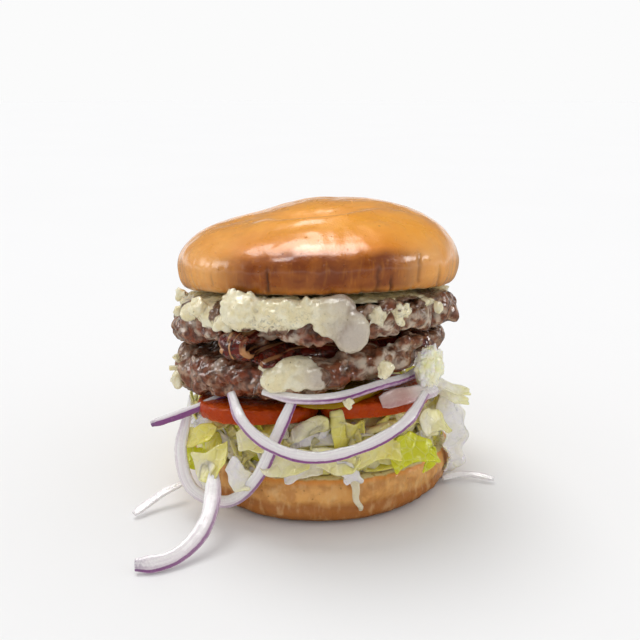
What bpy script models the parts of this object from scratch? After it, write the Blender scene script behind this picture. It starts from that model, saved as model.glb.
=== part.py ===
"""Double bacon burger: a soft bun round two beef patties, bacon and melted blue cheese.

Under the patties lie pickle, tomato, red onion and shredded lettuce.

Metres, +Z up, the front of the burger towards -Y, the origin at the centre of the heel's flat underside.
The filling leans back, so the height of each layer is a plane: higher in front and at the right.
"""

import math
import random
from collections import namedtuple

import bmesh
import bpy
from mathutils import Vector, noise

# Driving dimensions
BUN_RADIUS = 0.0548
HEEL_RADIUS = 0.0548
HEEL_THICKNESS = 0.0133
TOMATO_THICKNESS = 0.0068
PICKLE_THICKNESS = 0.0030
PATTY_RADIUS = 0.0552
LEAF_THICKNESS = 0.0012
LETTUCE_CORE = 0.0475
HEAP_SPREAD = [(205, 22, 0.07)]
PATTY_THICKNESS = 0.0130
BACON_THICKNESS = 0.0026
CROWN_TOP = 0.1120
CONTACT_GAP = 0.00035

# Height of each layer at the centre, with its slope to the right and its fall to the back
HEEL_CUT = (HEEL_THICKNESS, 0.0, 0.110)
TOMATO_BED = (0.0320, 0.020, 0.135)
LOWER_PATTY = (0.0518, 0.095, 0.125)
UPPER_PATTY = (0.0680, 0.045, 0.165)
CROWN_CUT = (0.0786, 0.020, 0.165)
LOWER_CENTRE = (-0.0058, 0.0)
UPPER_CENTRE = (-0.0024, 0.0)


Rasher = namedtuple("Rasher", "points wave half_width spans thickness outward")
OnionRing = namedtuple("OnionRing", "points spans centre face half_across half_out")


def plane(layer, x, y):
    """Height of a layer's plane over a point."""
    height, to_right, to_back = layer
    return height + to_right * x - to_back * y


def raised(layer, by):
    return (layer[0] + by, *layer[1:])


def waves(azimuth, terms):
    """Sum of cosines round a food's outline. Each term is (count, size, phase)."""
    return sum(size * math.cos(count * azimuth + phase) for count, size, phase in terms)


def bump(azimuth, centre, width):
    """1 at a bearing in degrees, fading to 0 about a width in degrees away."""
    off = (math.degrees(azimuth) - centre + 180) % 360 - 180
    return math.exp(-((off / width) ** 2))


def bumps(azimuth, terms):
    """Sum of local bumps. Each term is (bearing, width, size)."""
    return sum(size * bump(azimuth, centre, width) for centre, width, size in terms)


def eased(value, low, high):
    """0 below low, 1 above high, smooth between."""
    t = min(max((value - low) / (high - low), 0.0), 1.0)
    return t * t * (3 - 2 * t)


def grains(point, size):
    """Crumbly lumps about a size across: 0 in the cracks, up to 1 on a lump."""
    nearest = noise.voronoi(point / size)[0][0]
    return max(0.0, 1.0 - 1.25 * nearest)


def make_material(name, colour, roughness):
    material = bpy.data.materials.new(name)
    material.use_nodes = True
    shader = material.node_tree.nodes["Principled BSDF"]
    shader.inputs["Base Color"].default_value = (*colour, 1.0)
    shader.inputs["Roughness"].default_value = roughness
    shader.inputs["Metallic"].default_value = 0.0
    material.diffuse_color = (*colour, 1.0)
    return material


def add_object(name, bm, material):
    """The finished mesh as one named, smoothly shaded object."""
    bmesh.ops.recalc_face_normals(bm, faces=bm.faces)
    bmesh.ops.triangulate(bm, faces=bm.faces, quad_method="FIXED", ngon_method="BEAUTY")
    mesh = bpy.data.meshes.new(name)
    bm.to_mesh(mesh)
    bm.free()
    mesh.materials.append(material)
    mesh.shade_smooth()
    obj = bpy.data.objects.new(name, mesh)
    bpy.context.scene.collection.objects.link(obj)
    return obj


def round_solid(name, segments, rings, place, material):
    """A closed round body. place(azimuth, share) puts each point, from share 0 at the top to 1 below."""
    bm = bmesh.new()
    bmesh.ops.create_uvsphere(bm, u_segments=segments, v_segments=rings, radius=1.0)
    for vert in bm.verts:
        share = math.acos(max(-1.0, min(1.0, vert.co.z))) / math.pi
        vert.co = place(math.atan2(vert.co.y, vert.co.x), share)
    return add_object(name, bm, material)


def smooth_route(points, count):
    """Evenly numbered points on a smooth curve through the given ones."""
    knots = [Vector(p) for p in points]
    knots = [2 * knots[0] - knots[1], *knots, 2 * knots[-1] - knots[-2]]
    spans = len(points) - 1
    route = []
    for i in range(count):
        at = i / (count - 1) * spans
        k = min(int(at), spans - 1)
        t = at - k
        a, b, c, d = knots[k : k + 4]
        curve = 2 * b + (c - a) * t + (2 * a - 5 * b + 4 * c - d) * t * t + (3 * b - a - 3 * c + d) * t**3
        route.append(curve / 2)
    return route


def steady(direction):
    """The second axis of a strip's section that looks one way all along."""
    return lambda point, ahead: Vector(direction)


def away_from(centre, face):
    """The second axis of a ring's section: away from a centre, with the flat side looking along face."""

    def outward(point, ahead):
        out = Vector(face).cross(ahead)
        return out if out.dot(point - Vector(centre)) > 0 else -out

    return outward


def strip_mesh(bm, route, outward, section, ripple=None):
    """Sweeps a closed section along a route. ripple(share, across) lifts both faces alike."""
    count = len(route)
    rings = []
    for i, middle in enumerate(route):
        ahead = (route[min(i + 1, count - 1)] - route[max(i - 1, 0)]).normalized()
        out = outward(middle, ahead)
        out = (out - ahead * out.dot(ahead)).normalized()
        side = ahead.cross(out)
        share = i / (count - 1)
        ring = []
        for across, along_out in section(share):
            lift = ripple(share, across) if ripple else 0.0
            ring.append(bm.verts.new(middle + side * across + out * (along_out + lift)))
        rings.append(ring)
    size = len(rings[0])
    for near, far in zip(rings, rings[1:]):
        for j in range(size):
            k = (j + 1) % size
            bm.faces.new((near[j], near[k], far[k], far[j]))
    bm.faces.new(list(reversed(rings[0])))
    bm.faces.new(rings[-1])


def rounded_section(half_across, half_out):
    """Six points of a band's rounded section, a little thinner towards both ends of the strip."""

    def section(share):
        taper = 0.70 + 0.30 * eased(min(share, 1 - share), 0.0, 0.14)
        a, b = half_across * taper, half_out * taper
        return [(a, -0.6 * b), (a, 0.6 * b), (0, b), (-a, 0.6 * b), (-a, -0.6 * b), (0, -b)]

    return section


def flat_section(half_width, thickness, columns):
    """Points round a thin flat strip with several columns across it."""

    def section(share):
        width = half_width(share)
        steps = [2 * k / columns - 1 for k in range(columns + 1)]
        top = [(width * s, thickness / 2) for s in steps]
        return top + [(across, -thickness / 2) for across, _ in reversed(top)]

    return section


def soft_lump(name, centre, radii, material, roughness=0.10, detail=2):
    """One rounded lump of cheese or crumpled leaf."""
    bm = bmesh.new()
    bmesh.ops.create_icosphere(bm, subdivisions=detail, radius=1.0)
    middle = Vector(centre)
    for vert in bm.verts:
        swell = 1 + roughness * noise.noise(vert.co * 1.9 + middle * 300)
        vert.co = middle + Vector(vert.co[k] * radii[k] for k in range(3)) * swell
    return add_object(name, bm, material)


def swollen_copy(obj, gap):
    """A hidden copy of an object grown by a gap, to cut its neighbour with."""
    bm = bmesh.new()
    bm.from_mesh(obj.data)
    bm.normal_update()
    for vert in bm.verts:
        vert.co += vert.normal * gap * min(vert.calc_shell_factor(), 2.5)
    mesh = bpy.data.meshes.new(obj.name + "_cutter")
    bm.to_mesh(mesh)
    bm.free()
    cutter = bpy.data.objects.new(mesh.name, mesh)
    cutter.hide_render = True
    cutter.display_type = "WIRE"
    bpy.context.scene.collection.objects.link(cutter)
    return cutter


def box_of(obj, margin=0.0):
    corners = [vert.co for vert in obj.data.vertices]
    low = Vector(min(c[k] for c in corners) - margin for k in range(3))
    high = Vector(max(c[k] for c in corners) + margin for k in range(3))
    return low, high


def boxes_meet(first, second):
    (low_a, high_a), (low_b, high_b) = first, second
    return all(low_a[k] < high_b[k] and low_b[k] < high_a[k] for k in range(3))


def bodies_of(bm):
    """The faces of a mesh as a list of joined bodies."""
    unseen = set(bm.faces)
    bodies = []
    while unseen:
        body, stack = [], [unseen.pop()]
        while stack:
            face = stack.pop()
            body.append(face)
            for edge in face.edges:
                for other in edge.link_faces:
                    if other in unseen:
                        unseen.discard(other)
                        stack.append(other)
        bodies.append(body)
    return bodies


def keep_largest_body(bm):
    """Drops the loose scraps and sealed hollows that a Boolean leaves."""

    def width(body):
        places = [vert.co.x for face in body for vert in face.verts]
        return max(places) - min(places)

    bodies = bodies_of(bm)
    largest = max(bodies, key=width)
    scraps = [face for body in bodies if body is not largest for face in body]
    if scraps:
        bmesh.ops.delete(bm, geom=scraps, context="FACES")
        loose = [vert for vert in bm.verts if not vert.link_faces]
        bmesh.ops.delete(bm, geom=loose, context="VERTS")


def apply_modifiers(obj):
    """Bakes an object's modifiers into its mesh and tidies what a Boolean leaves."""
    graph = bpy.context.evaluated_depsgraph_get()
    baked = bpy.data.meshes.new_from_object(obj.evaluated_get(graph))
    bm = bmesh.new()
    bm.from_mesh(baked)
    bmesh.ops.triangulate(bm, faces=bm.faces)
    bmesh.ops.dissolve_degenerate(bm, dist=2e-6, edges=bm.edges)
    keep_largest_body(bm)
    bm.to_mesh(baked)
    bm.free()
    obj.modifiers.clear()
    obj.data = baked
    baked.name = obj.name
    baked.shade_smooth()


def carve(obj, neighbours, gap=CONTACT_GAP):
    """Cuts an object back from what it rests on or under, with a small gap."""
    for other in neighbours:
        if not boxes_meet(box_of(obj), box_of(other, gap)):
            continue
        cutter = swollen_copy(other, gap)
        cut = obj.modifiers.new("cut", "BOOLEAN")
        cut.operation = "DIFFERENCE"
        cut.solver = "MANIFOLD"
        cut.object = cutter
        apply_modifiers(obj)
        bpy.data.objects.remove(cutter)


def fuse(base, pieces):
    """Joins a collection of pieces onto a base in one Boolean union, and removes them."""
    group = bpy.data.collections.new(base.name + "_pieces")
    bpy.context.scene.collection.children.link(group)
    for piece in pieces:
        bpy.context.scene.collection.objects.unlink(piece)
        group.objects.link(piece)
    union = base.modifiers.new("union", "BOOLEAN")
    union.operation = "UNION"
    union.solver = "MANIFOLD"
    union.operand_type = "COLLECTION"
    union.collection = group
    apply_modifiers(base)
    for piece in pieces:
        bpy.data.objects.remove(piece)
    bpy.data.collections.remove(group)


# Buns


def build_crown(material):
    """The top bun: a flat-topped dome with a dent in front of its top, over a leaning cut face."""
    curve_height = 0.0085
    tuck = 0.0034
    dome_share, curve_share = 0.64, 0.82
    top_roll = 0.045
    dent_centre = Vector((-0.0010, -0.0180))
    dent_size = Vector((0.0165, 0.0105))
    dent_depth = 0.0034
    slump_centre, slump_width, slump_depth = -0.0270, 0.0190, 0.0030
    outline = [(2, 0.010, 0.4), (3, 0.008, 1.1), (5, 0.005, 2.0)]

    def place(azimuth, share):
        radius = BUN_RADIUS * (1 + waves(azimuth, outline))
        around = Vector((math.cos(azimuth), math.sin(azimuth)))
        rim = around * (radius - tuck)
        widest = plane(CROWN_CUT, rim.x, rim.y) + curve_height
        if share <= dome_share:
            turn = share / dome_share * math.pi / 2
            spot = around * radius * math.sin(turn) ** 0.8
            top = CROWN_TOP + top_roll * spot.x
            top -= slump_depth * math.exp(-(((spot.x - slump_centre) / slump_width) ** 2))
            height = widest + (top - widest) * math.cos(turn) ** 0.97
            off = Vector(((spot.x - dent_centre.x) / dent_size.x, (spot.y - dent_centre.y) / dent_size.y))
            reach = off.length_squared
            height -= dent_depth * (1 - 0.55 * reach) * math.exp(-reach)
        elif share <= curve_share:
            turn = (share - dome_share) / (curve_share - dome_share) * math.pi / 2
            spot = around * (radius - tuck * (1 - math.cos(turn)))
            height = widest - curve_height * math.sin(turn)
        else:
            spot = rim * (1 - share) / (1 - curve_share)
            height = plane(CROWN_CUT, spot.x, spot.y)
        return Vector((spot.x - 0.001, spot.y, height))

    return round_solid("crown_bun", 42, 16, place, material)


def build_heel(material):
    """The bottom bun: a flat base, rounded sides and a cut face that falls towards the back."""
    base_share, side_share = 0.24, 0.78
    flat_radius = 0.0490
    top_tuck = 0.0026
    outline = [(2, 0.012, 2.6), (3, 0.009, 0.3), (7, 0.004, 1.0)]

    def place(azimuth, share):
        bulge = HEEL_RADIUS * (1 + waves(azimuth, outline))
        around = Vector((math.cos(azimuth), math.sin(azimuth)))
        brim = around * (bulge - top_tuck)
        top = plane(HEEL_CUT, brim.x, brim.y)
        below = 1 - share
        if below <= base_share:
            spot, height = around * flat_radius * (below / base_share), 0.0
        elif below <= side_share:
            turn = (below - base_share) / (side_share - base_share) * math.pi
            height = top * (0.5 - 0.5 * math.cos(turn)) ** 0.9
            reach = flat_radius + (bulge - flat_radius) * math.sin(min(turn * 1.4, math.pi / 2))
            spot = around * (reach - top_tuck * eased(turn, math.pi * 0.55, math.pi))
        else:
            spot = brim * (1 - below) / (1 - side_share)
            height = plane(HEEL_CUT, spot.x, spot.y)
        return Vector((spot.x, spot.y, height))

    return round_solid("heel_bun", 40, 14, place, material)


# Beef and cheese


def patty_surface(layer, centre, outline, droop, thickness, radius, seed):
    """place() for a rough patty: flat faces and rounded, crumbly sides."""
    face_share, side_share = 0.20, 0.80
    shift = Vector((seed * 0.31, seed * 0.17, seed * 0.23))

    def place(azimuth, share):
        reach = radius * (1 + waves(azimuth, outline))
        half = (PATTY_THICKNESS + bumps(azimuth, thickness)) / 2
        around = Vector((math.cos(azimuth), math.sin(azimuth)))
        inner = reach - half * 0.8
        if share < face_share:
            side, spot, level = 0.0, around * inner * (share / face_share), half
        elif share <= side_share:
            turn = (share - face_share) / (side_share - face_share) * math.pi
            side, level = math.sin(turn), half * math.cos(turn)
            spot = around * (inner + half * 0.8 * side)
        else:
            side, spot, level = 0.0, around * inner * ((1 - share) / (1 - side_share)), -half
        share_out = spot.length / reach
        level *= (PATTY_THICKNESS / 2 + (half - PATTY_THICKNESS / 2) * share_out**4) / half
        x, y = centre[0] + spot.x, centre[1] + spot.y
        height = plane(layer, x, y) + level + bumps(azimuth, droop) * share_out**5
        point = Vector((x, y, height))
        lump = grains(point + shift, 0.0105) + 0.5 * grains(point + shift, 0.0055) - 0.6
        push = Vector((around.x * side, around.y * side, 0.5 * level / half * side))
        return point + push * 0.0028 * lump

    return place


def build_lower_patty(material):
    thickness = [(195, 40, 0.0070), (0, 50, -0.0010)]
    droop = [(225, 30, -0.0020), (270, 30, -0.0010)]
    outline = [(2, 0.022, 0.5), (3, 0.014, 0.2), (5, 0.012, 1.4), (8, 0.008, 0.8)]
    place = patty_surface(LOWER_PATTY, LOWER_CENTRE, outline, droop, thickness, PATTY_RADIUS * 0.975, 1)
    return round_solid("beef_patty_lower", 40, 11, place, material)


def build_upper_patty(material):
    thickness = [(190, 35, 0.0030), (276, 12, 0.0030), (248, 16, -0.0030)]
    droop = [(190, 26, -0.0042), (276, 12, -0.0022), (248, 16, 0.0026)]
    outline = [(2, 0.020, 0.0), (3, 0.010, 2.1), (4, 0.010, 0.3), (7, 0.010, 1.8)]
    place = patty_surface(UPPER_PATTY, UPPER_CENTRE, outline, droop, thickness, PATTY_RADIUS * 1.005, 2)
    return round_solid("beef_patty_upper", 40, 11, place, material)


def build_upper_cheese(material):
    """Blue cheese melted over the upper patty: a sheet that runs over the edge, with soft lumps in front."""
    roof = raised(CROWN_CUT, -0.0005)
    bed = raised(UPPER_PATTY, PATTY_THICKNESS / 2 + CONTACT_GAP)
    top_share, rim_share = 0.62, 0.80
    spread = [(232, 26, 0.045), (283, 14, 0.050), (318, 18, 0.03)]
    front_falls = [(233, 16, 0.0060), (258, 10, 0.0040), (283, 9, 0.0130), (306, 16, 0.0050)]
    falls = [*front_falls, (75, 22, 0.0060), (160, 18, 0.0045)]

    def place(azimuth, share):
        around = Vector((math.cos(azimuth), math.sin(azimuth)))
        edge = PATTY_RADIUS * (0.985 + bumps(azimuth, spread))
        fall = 0.0012 + bumps(azimuth, falls)
        if share <= top_share:
            turn = share / top_share * math.pi / 2
            spot, sink = around * edge * math.sin(turn), (1 - math.cos(turn)) ** 2.2
        elif share <= rim_share:
            turn = (share - top_share) / (rim_share - top_share)
            spot, sink = around * (edge - 0.0050 * turn), 1.0 + 0.10 * math.sin(turn * math.pi)
        else:
            inward = (share - rim_share) / (1 - rim_share)
            spot, sink = around * (edge - 0.0050) * (1 - inward), max(0.0, 1 - 4 * inward)
        x, y = UPPER_CENTRE[0] + spot.x, UPPER_CENTRE[1] + spot.y
        low, high = plane(bed, x, y), plane(roof, x, y)
        if share > rim_share:
            return Vector((x, y, low - fall * sink))
        wobble = 0.0010 * noise.noise(Vector((x, y, 0.01)) / 0.007) * sink
        return Vector((x, y, high - (high - low + fall) * sink + wobble))

    cap = round_solid("blue_cheese_upper", 40, 9, place, material)
    lumps = [
        ((-0.0258, -0.0478, 0.0820), (0.0092, 0.0076, 0.0085)),
        ((-0.0130, -0.0505, 0.0815), (0.0105, 0.0066, 0.0076)),
        ((0.0020, -0.0520, 0.0835), (0.0105, 0.0060, 0.0058)),
        ((0.0105, -0.0545, 0.0755), (0.0068, 0.0050, 0.0080)),
        ((0.0430, -0.0360, 0.0775), (0.0032, 0.0034, 0.0062)),
        ((-0.0465, -0.0275, 0.0745), (0.0056, 0.0055, 0.0045)),
    ]
    fuse(cap, [soft_lump(f"lump_{i}", *lump, material) for i, lump in enumerate(lumps)])
    return cap


def build_lower_cheese(name, lumps, material):
    """A smaller melt over one edge of the lower patty, made of lumps that run together."""
    solids = [soft_lump(f"{name}_{i}", *lump, material) for i, lump in enumerate(lumps)]
    solids[0].name = name
    fuse(solids[0], solids[1:])
    return solids[0]


def build_melts(material):
    melts = {
        "blue_cheese_lower": [
            ((-0.0105, -0.0490, 0.0610), (0.0120, 0.0060, 0.0040)),
            ((-0.0150, -0.0535, 0.0575), (0.0062, 0.0032, 0.0048)),
            ((-0.0020, -0.0530, 0.0580), (0.0060, 0.0034, 0.0046)),
        ],
        "blue_cheese_lower_back": [
            ((0.0080, 0.0465, 0.0560), (0.0130, 0.0060, 0.0034)),
            ((0.0140, 0.0505, 0.0510), (0.0060, 0.0034, 0.0052)),
        ],
    }
    return [build_lower_cheese(name, lumps, material) for name, lumps in melts.items()]


def build_crumbs(material):
    """The two crumbs of cheese big enough to pick up."""
    crumbs = {
        "blue_cheese_crumb_right": ((0.0228, -0.0530, 0.0614), (0.0029, 0.0026, 0.0031)),
        "blue_cheese_crumb_left": ((-0.0550, -0.0230, 0.0460), (0.0025, 0.0026, 0.0038)),
    }
    return [soft_lump(name, *crumb, material, 0.25) for name, crumb in crumbs.items()]


# Bacon


def bacon_rashers():
    fold_centre = (-0.0235, -0.0400, 0.0680)
    fold_face = (0.87, -0.48, 0.0)
    return {
        "bacon_rasher_fold": Rasher(
            points=[
                (-0.0100, -0.0180, 0.0700),
                (-0.0250, -0.0400, 0.0722),
                (-0.0292, -0.0500, 0.0715),
                (-0.0300, -0.0535, 0.0685),
                (-0.0290, -0.0500, 0.0655),
                (-0.0240, -0.0390, 0.0640),
                (-0.0120, -0.0200, 0.0612),
            ],
            wave=0.0003,
            half_width=0.0066,
            spans=14,
            thickness=0.0034,
            outward=away_from(fold_centre, fold_face),
        ),
        "bacon_rasher_front": Rasher(
            points=[
                (-0.0225, -0.0510, 0.0640),
                (-0.0120, -0.0420, 0.0655),
                (0.0080, -0.0340, 0.0635),
                (0.0250, -0.0300, 0.0640),
                (0.0390, -0.0230, 0.0640),
            ],
            wave=0.0008,
            half_width=0.0062,
            spans=11,
            thickness=BACON_THICKNESS,
            outward=steady((0.0, -0.35, 1.0)),
        ),
        "bacon_rasher_back": Rasher(
            points=[
                (-0.0500, 0.0260, 0.0522),
                (-0.0180, 0.0330, 0.0535),
                (0.0180, 0.0330, 0.0565),
                (0.0500, 0.0220, 0.0600),
            ],
            wave=0.0006,
            half_width=0.0115,
            spans=11,
            thickness=BACON_THICKNESS,
            outward=steady((0.0, 0.0, 1.0)),
        ),
    }


def build_rasher(name, rasher, material):
    """One wavy rasher, a little wider and narrower along its length."""

    def width(share):
        return rasher.half_width * (0.90 + 0.10 * math.sin(share * 9.0))

    def ripple(share, across):
        return rasher.wave * math.sin(share * 19.0 + across * 90.0)

    bm = bmesh.new()
    route = smooth_route(rasher.points, rasher.spans + 1)
    strip_mesh(bm, route, rasher.outward, flat_section(width, rasher.thickness, 3), ripple)
    return add_object(name, bm, material)


def build_bacon(material):
    """Rashers between the patties. The first folds back on itself at the front left."""
    return [build_rasher(name, rasher, material) for name, rasher in bacon_rashers().items()]


# Tomato and pickle


def slice_solid(name, centre, radii, thickness, layer, tilt, outline, material):
    """A round vegetable slice with a softly rounded edge, lying on a layer's plane."""
    face_share, side_share = 0.30, 0.70

    def place(azimuth, share):
        swell = 1 + waves(azimuth, outline)
        around = Vector((math.cos(azimuth) * radii[0], math.sin(azimuth) * radii[1])) * swell
        if share < face_share:
            spot, level = around * 0.94 * (share / face_share), 1.0
        elif share <= side_share:
            turn = (share - face_share) / (side_share - face_share) * math.pi
            spot, level = around * (0.94 + 0.06 * math.sin(turn)), math.cos(turn)
        else:
            spot, level = around * 0.94 * ((1 - share) / (1 - side_share)), -1.0
        x, y = centre[0] + spot.x, centre[1] + spot.y
        height = plane(layer, x, y) + tilt * spot.x + thickness * (0.5 + 0.5 * level)
        return Vector((x, y, height))

    return round_solid(name, 24, 8, place, material)


def build_tomatoes(material):
    slices = {
        "tomato_slice_left": ((-0.0235, -0.0285), (0.0235, 0.0225), 0.0, 0.0),
        "tomato_slice_right": ((0.0212, -0.0275), (0.0206, 0.0225), 0.0020, 0.075),
        "tomato_slice_back": ((0.0010, 0.0245), (0.0300, 0.0245), 0.0022, 0.0),
    }
    outline = [(3, 0.012, 0.5), (5, 0.008, 1.2)]
    built = []
    for name, (centre, radii, higher, tilt) in slices.items():
        bed = raised(TOMATO_BED, higher)
        built.append(slice_solid(name, centre, radii, TOMATO_THICKNESS, bed, tilt, outline, material))
    return built


def build_pickles(material):
    bed = raised(TOMATO_BED, TOMATO_THICKNESS + CONTACT_GAP)
    slices = {
        "pickle_slice_front": ((0.0020, -0.0345), (0.0225, 0.0135), (bed[0] + 0.0012, 0.060, bed[2])),
        "pickle_slice_back": ((0.0030, 0.0290), (0.0200, 0.0160), raised(bed, 0.0022)),
    }
    outline = [(9, 0.010, 0.0)]
    built = []
    for name, (centre, radii, low) in slices.items():
        built.append(slice_solid(name, centre, radii, PICKLE_THICKNESS, low, 0.0, outline, material))
    return built


# Red onion


def onion_rings():
    """The cut rings of red onion. The skin faces away from centre, and the flat cut side looks along face."""
    to_viewer = (0.0, -0.88, 0.47)
    return {
        "onion_arc_front": OnionRing(
            points=[
                (-0.0316, -0.0480, 0.0505),
                (-0.0274, -0.0565, 0.0441),
                (-0.0199, -0.0610, 0.0381),
                (-0.0103, -0.0630, 0.0342),
                (0.0000, -0.0638, 0.0332),
                (0.0109, -0.0630, 0.0353),
                (0.0214, -0.0600, 0.0387),
                (0.0308, -0.0540, 0.0428),
                (0.0384, -0.0420, 0.0480),
            ],
            spans=16,
            centre=(0.0050, -0.0480, 0.0520),
            face=to_viewer,
            half_across=0.0014,
            half_out=0.0021,
        ),
        "onion_loop_left": OnionRing(
            points=[
                (-0.0088, -0.0525, 0.0512),
                (-0.0149, -0.0560, 0.0380),
                (-0.0228, -0.0545, 0.0200),
                (-0.0338, -0.0510, 0.0088),
                (-0.0470, -0.0475, 0.0118),
                (-0.0518, -0.0425, 0.0240),
                (-0.0500, -0.0350, 0.0362),
            ],
            spans=16,
            centre=(-0.0330, -0.0460, 0.0310),
            face=to_viewer,
            half_across=0.0013,
            half_out=0.0023,
        ),
        "onion_strip_hanging": OnionRing(
            points=[
                (-0.0387, -0.0500, 0.0214),
                (-0.0383, -0.0565, 0.0158),
                (-0.0386, -0.0620, 0.0118),
                (-0.0402, -0.0670, 0.0085),
                (-0.0438, -0.0725, 0.0052),
                (-0.0487, -0.0775, 0.0034),
                (-0.0545, -0.0805, 0.0029),
                (-0.0614, -0.0815, 0.0029),
            ],
            spans=13,
            centre=(-0.0750, -0.0500, 0.0300),
            face=(0.0, -0.82, 0.57),
            half_across=0.0011,
            half_out=0.0029,
        ),
        "onion_strip_left": OnionRing(
            points=[
                (-0.0631, -0.0370, 0.0334),
                (-0.0541, -0.0378, 0.0369),
                (-0.0440, -0.0370, 0.0407),
                (-0.0360, -0.0330, 0.0430),
            ],
            spans=7,
            centre=(-0.0500, -0.0370, 0.0900),
            face=to_viewer,
            half_across=0.0016,
            half_out=0.0017,
        ),
        "onion_ring_top": OnionRing(
            points=[
                (-0.0205, -0.0480, 0.0515),
                (-0.0080, -0.0535, 0.0502),
                (0.0060, -0.0540, 0.0508),
                (0.0200, -0.0485, 0.0526),
                (0.0340, -0.0330, 0.0508),
                (0.0415, -0.0100, 0.0486),
                (0.0400, 0.0140, 0.0458),
                (0.0300, 0.0330, 0.0425),
            ],
            spans=21,
            centre=(0.0000, -0.0100, 0.0500),
            face=(0.0, -0.50, 0.87),
            half_across=0.0012,
            half_out=0.0025,
        ),
        "onion_slab_right": OnionRing(
            points=[
                (0.0215, -0.0500, 0.0478),
                (0.0286, -0.0478, 0.0490),
                (0.0370, -0.0410, 0.0478),
                (0.0440, -0.0300, 0.0450),
            ],
            spans=7,
            centre=(0.0180, -0.0200, 0.0500),
            face=(0.30, -0.62, 0.72),
            half_across=0.0010,
            half_out=0.0030,
        ),
        "onion_arc_back": OnionRing(
            points=[
                (0.0350, 0.0390, 0.0330),
                (0.0240, 0.0510, 0.0270),
                (0.0000, 0.0570, 0.0220),
                (-0.0250, 0.0510, 0.0250),
                (-0.0380, 0.0390, 0.0300),
            ],
            spans=12,
            centre=(-0.0020, 0.0340, 0.0330),
            face=(0.0, 0.85, 0.50),
            half_across=0.0014,
            half_out=0.0020,
        ),
        "onion_strip_floor_left": OnionRing(
            points=[
                (-0.0529, -0.0340, 0.0073),
                (-0.0596, -0.0385, 0.0056),
                (-0.0645, -0.0425, 0.0036),
                (-0.0695, -0.0480, 0.0018),
            ],
            spans=7,
            centre=(-0.0450, -0.0600, 0.0300),
            face=(0.0, -0.50, 0.87),
            half_across=0.0009,
            half_out=0.0014,
        ),
        "onion_strip_floor_right": OnionRing(
            points=[
                (0.0495, -0.0225, 0.0028),
                (0.0560, -0.0195, 0.0028),
                (0.0634, -0.0190, 0.0024),
                (0.0708, -0.0215, 0.0019),
            ],
            spans=7,
            centre=(0.0600, -0.0400, 0.0300),
            face=(0.0, -0.50, 0.87),
            half_across=0.0009,
            half_out=0.0014,
        ),
    }


def build_onions(material):
    built = []
    for name, ring in onion_rings().items():
        bm = bmesh.new()
        route = smooth_route(ring.points, ring.spans + 1)
        section = rounded_section(ring.half_across, ring.half_out)
        strip_mesh(bm, route, away_from(ring.centre, ring.face), section)
        built.append(add_object(name, bm, material))
    return built


# Lettuce


def lettuce_core(material):
    """The low body of the heap, between the heel and the tomato."""
    outline = [(2, 0.02, 1.0), (5, 0.02, 0.4), (9, 0.02, 2.0)]
    face_share, side_share = 0.30, 0.70

    def place(azimuth, share):
        reach = LETTUCE_CORE * (1 + waves(azimuth, outline) + bumps(azimuth, HEAP_SPREAD))
        around = Vector((math.cos(azimuth), math.sin(azimuth))) * reach
        if share < face_share:
            spot, level = around * 0.93 * (share / face_share), 1.0
        elif share <= side_share:
            turn = (share - face_share) / (side_share - face_share) * math.pi
            spot, level = around * (0.93 + 0.07 * math.sin(turn)), 0.5 + 0.5 * math.cos(turn)
        else:
            spot, level = around * 0.93 * ((1 - share) / (1 - side_share)), 0.0
        low = plane(HEEL_CUT, spot.x, spot.y) + CONTACT_GAP
        high = plane(TOMATO_BED, spot.x, spot.y) + 0.0006 + 0.0022 * eased(spot.y, 0.0, 0.02)
        return Vector((spot.x, spot.y, low + (high - low) * level))

    return round_solid("lettuce_heap", 26, 7, place, material)


def shred(rng, azimuth, level, material):
    """One bowed strip of leaf on the side of the heap."""
    around = Vector((math.cos(azimuth), math.sin(azimuth), 0))
    along = Vector((-math.sin(azimuth), math.cos(azimuth), 0))
    radius = LETTUCE_CORE * (1 + bumps(azimuth, HEAP_SPREAD)) + rng.uniform(0.0008, 0.0028)
    low = plane(HEEL_CUT, around.x * radius, around.y * radius)
    high = plane(TOMATO_BED, around.x * radius, around.y * radius)
    middle = around * radius + Vector((0, 0, low + (high - low) * level))
    lean = rng.uniform(-0.9, 0.9)
    ahead = (along * math.cos(lean) + Vector((0, 0, math.sin(lean)))).normalized()
    half = rng.uniform(0.0065, 0.0115)
    bow = rng.uniform(0.0010, 0.0030)
    bends = [(-1.0, bow), (-0.35, -0.0014), (0.35, -0.0014), (1.0, rng.uniform(0.0, bow))]
    route = [middle + ahead * half * along_it + around * out for along_it, out in bends]
    half_width = rng.uniform(0.0017, 0.0028)
    facing = around + Vector((0, 0, rng.uniform(-0.5, 0.9)))
    bm = bmesh.new()
    strip_mesh(bm, route, steady(facing), flat_section(lambda share: half_width, LEAF_THICKNESS, 1))
    return add_object("shred", bm, material)



def build_lettuce_heap(material):
    """Shredded iceberg: a low core with shreds fused all round its side."""
    rng = random.Random(41)
    heap = lettuce_core(material)
    shreds = []
    for level, count in [(0.18, 14), (0.50, 12), (0.80, 11)]:
        for k in range(count):
            azimuth = 2 * math.pi * (k + rng.uniform(0.1, 0.9)) / count
            shreds.append(shred(rng, azimuth, level + rng.uniform(-0.09, 0.09), material))
    fuse(heap, shreds)
    return heap


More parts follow.
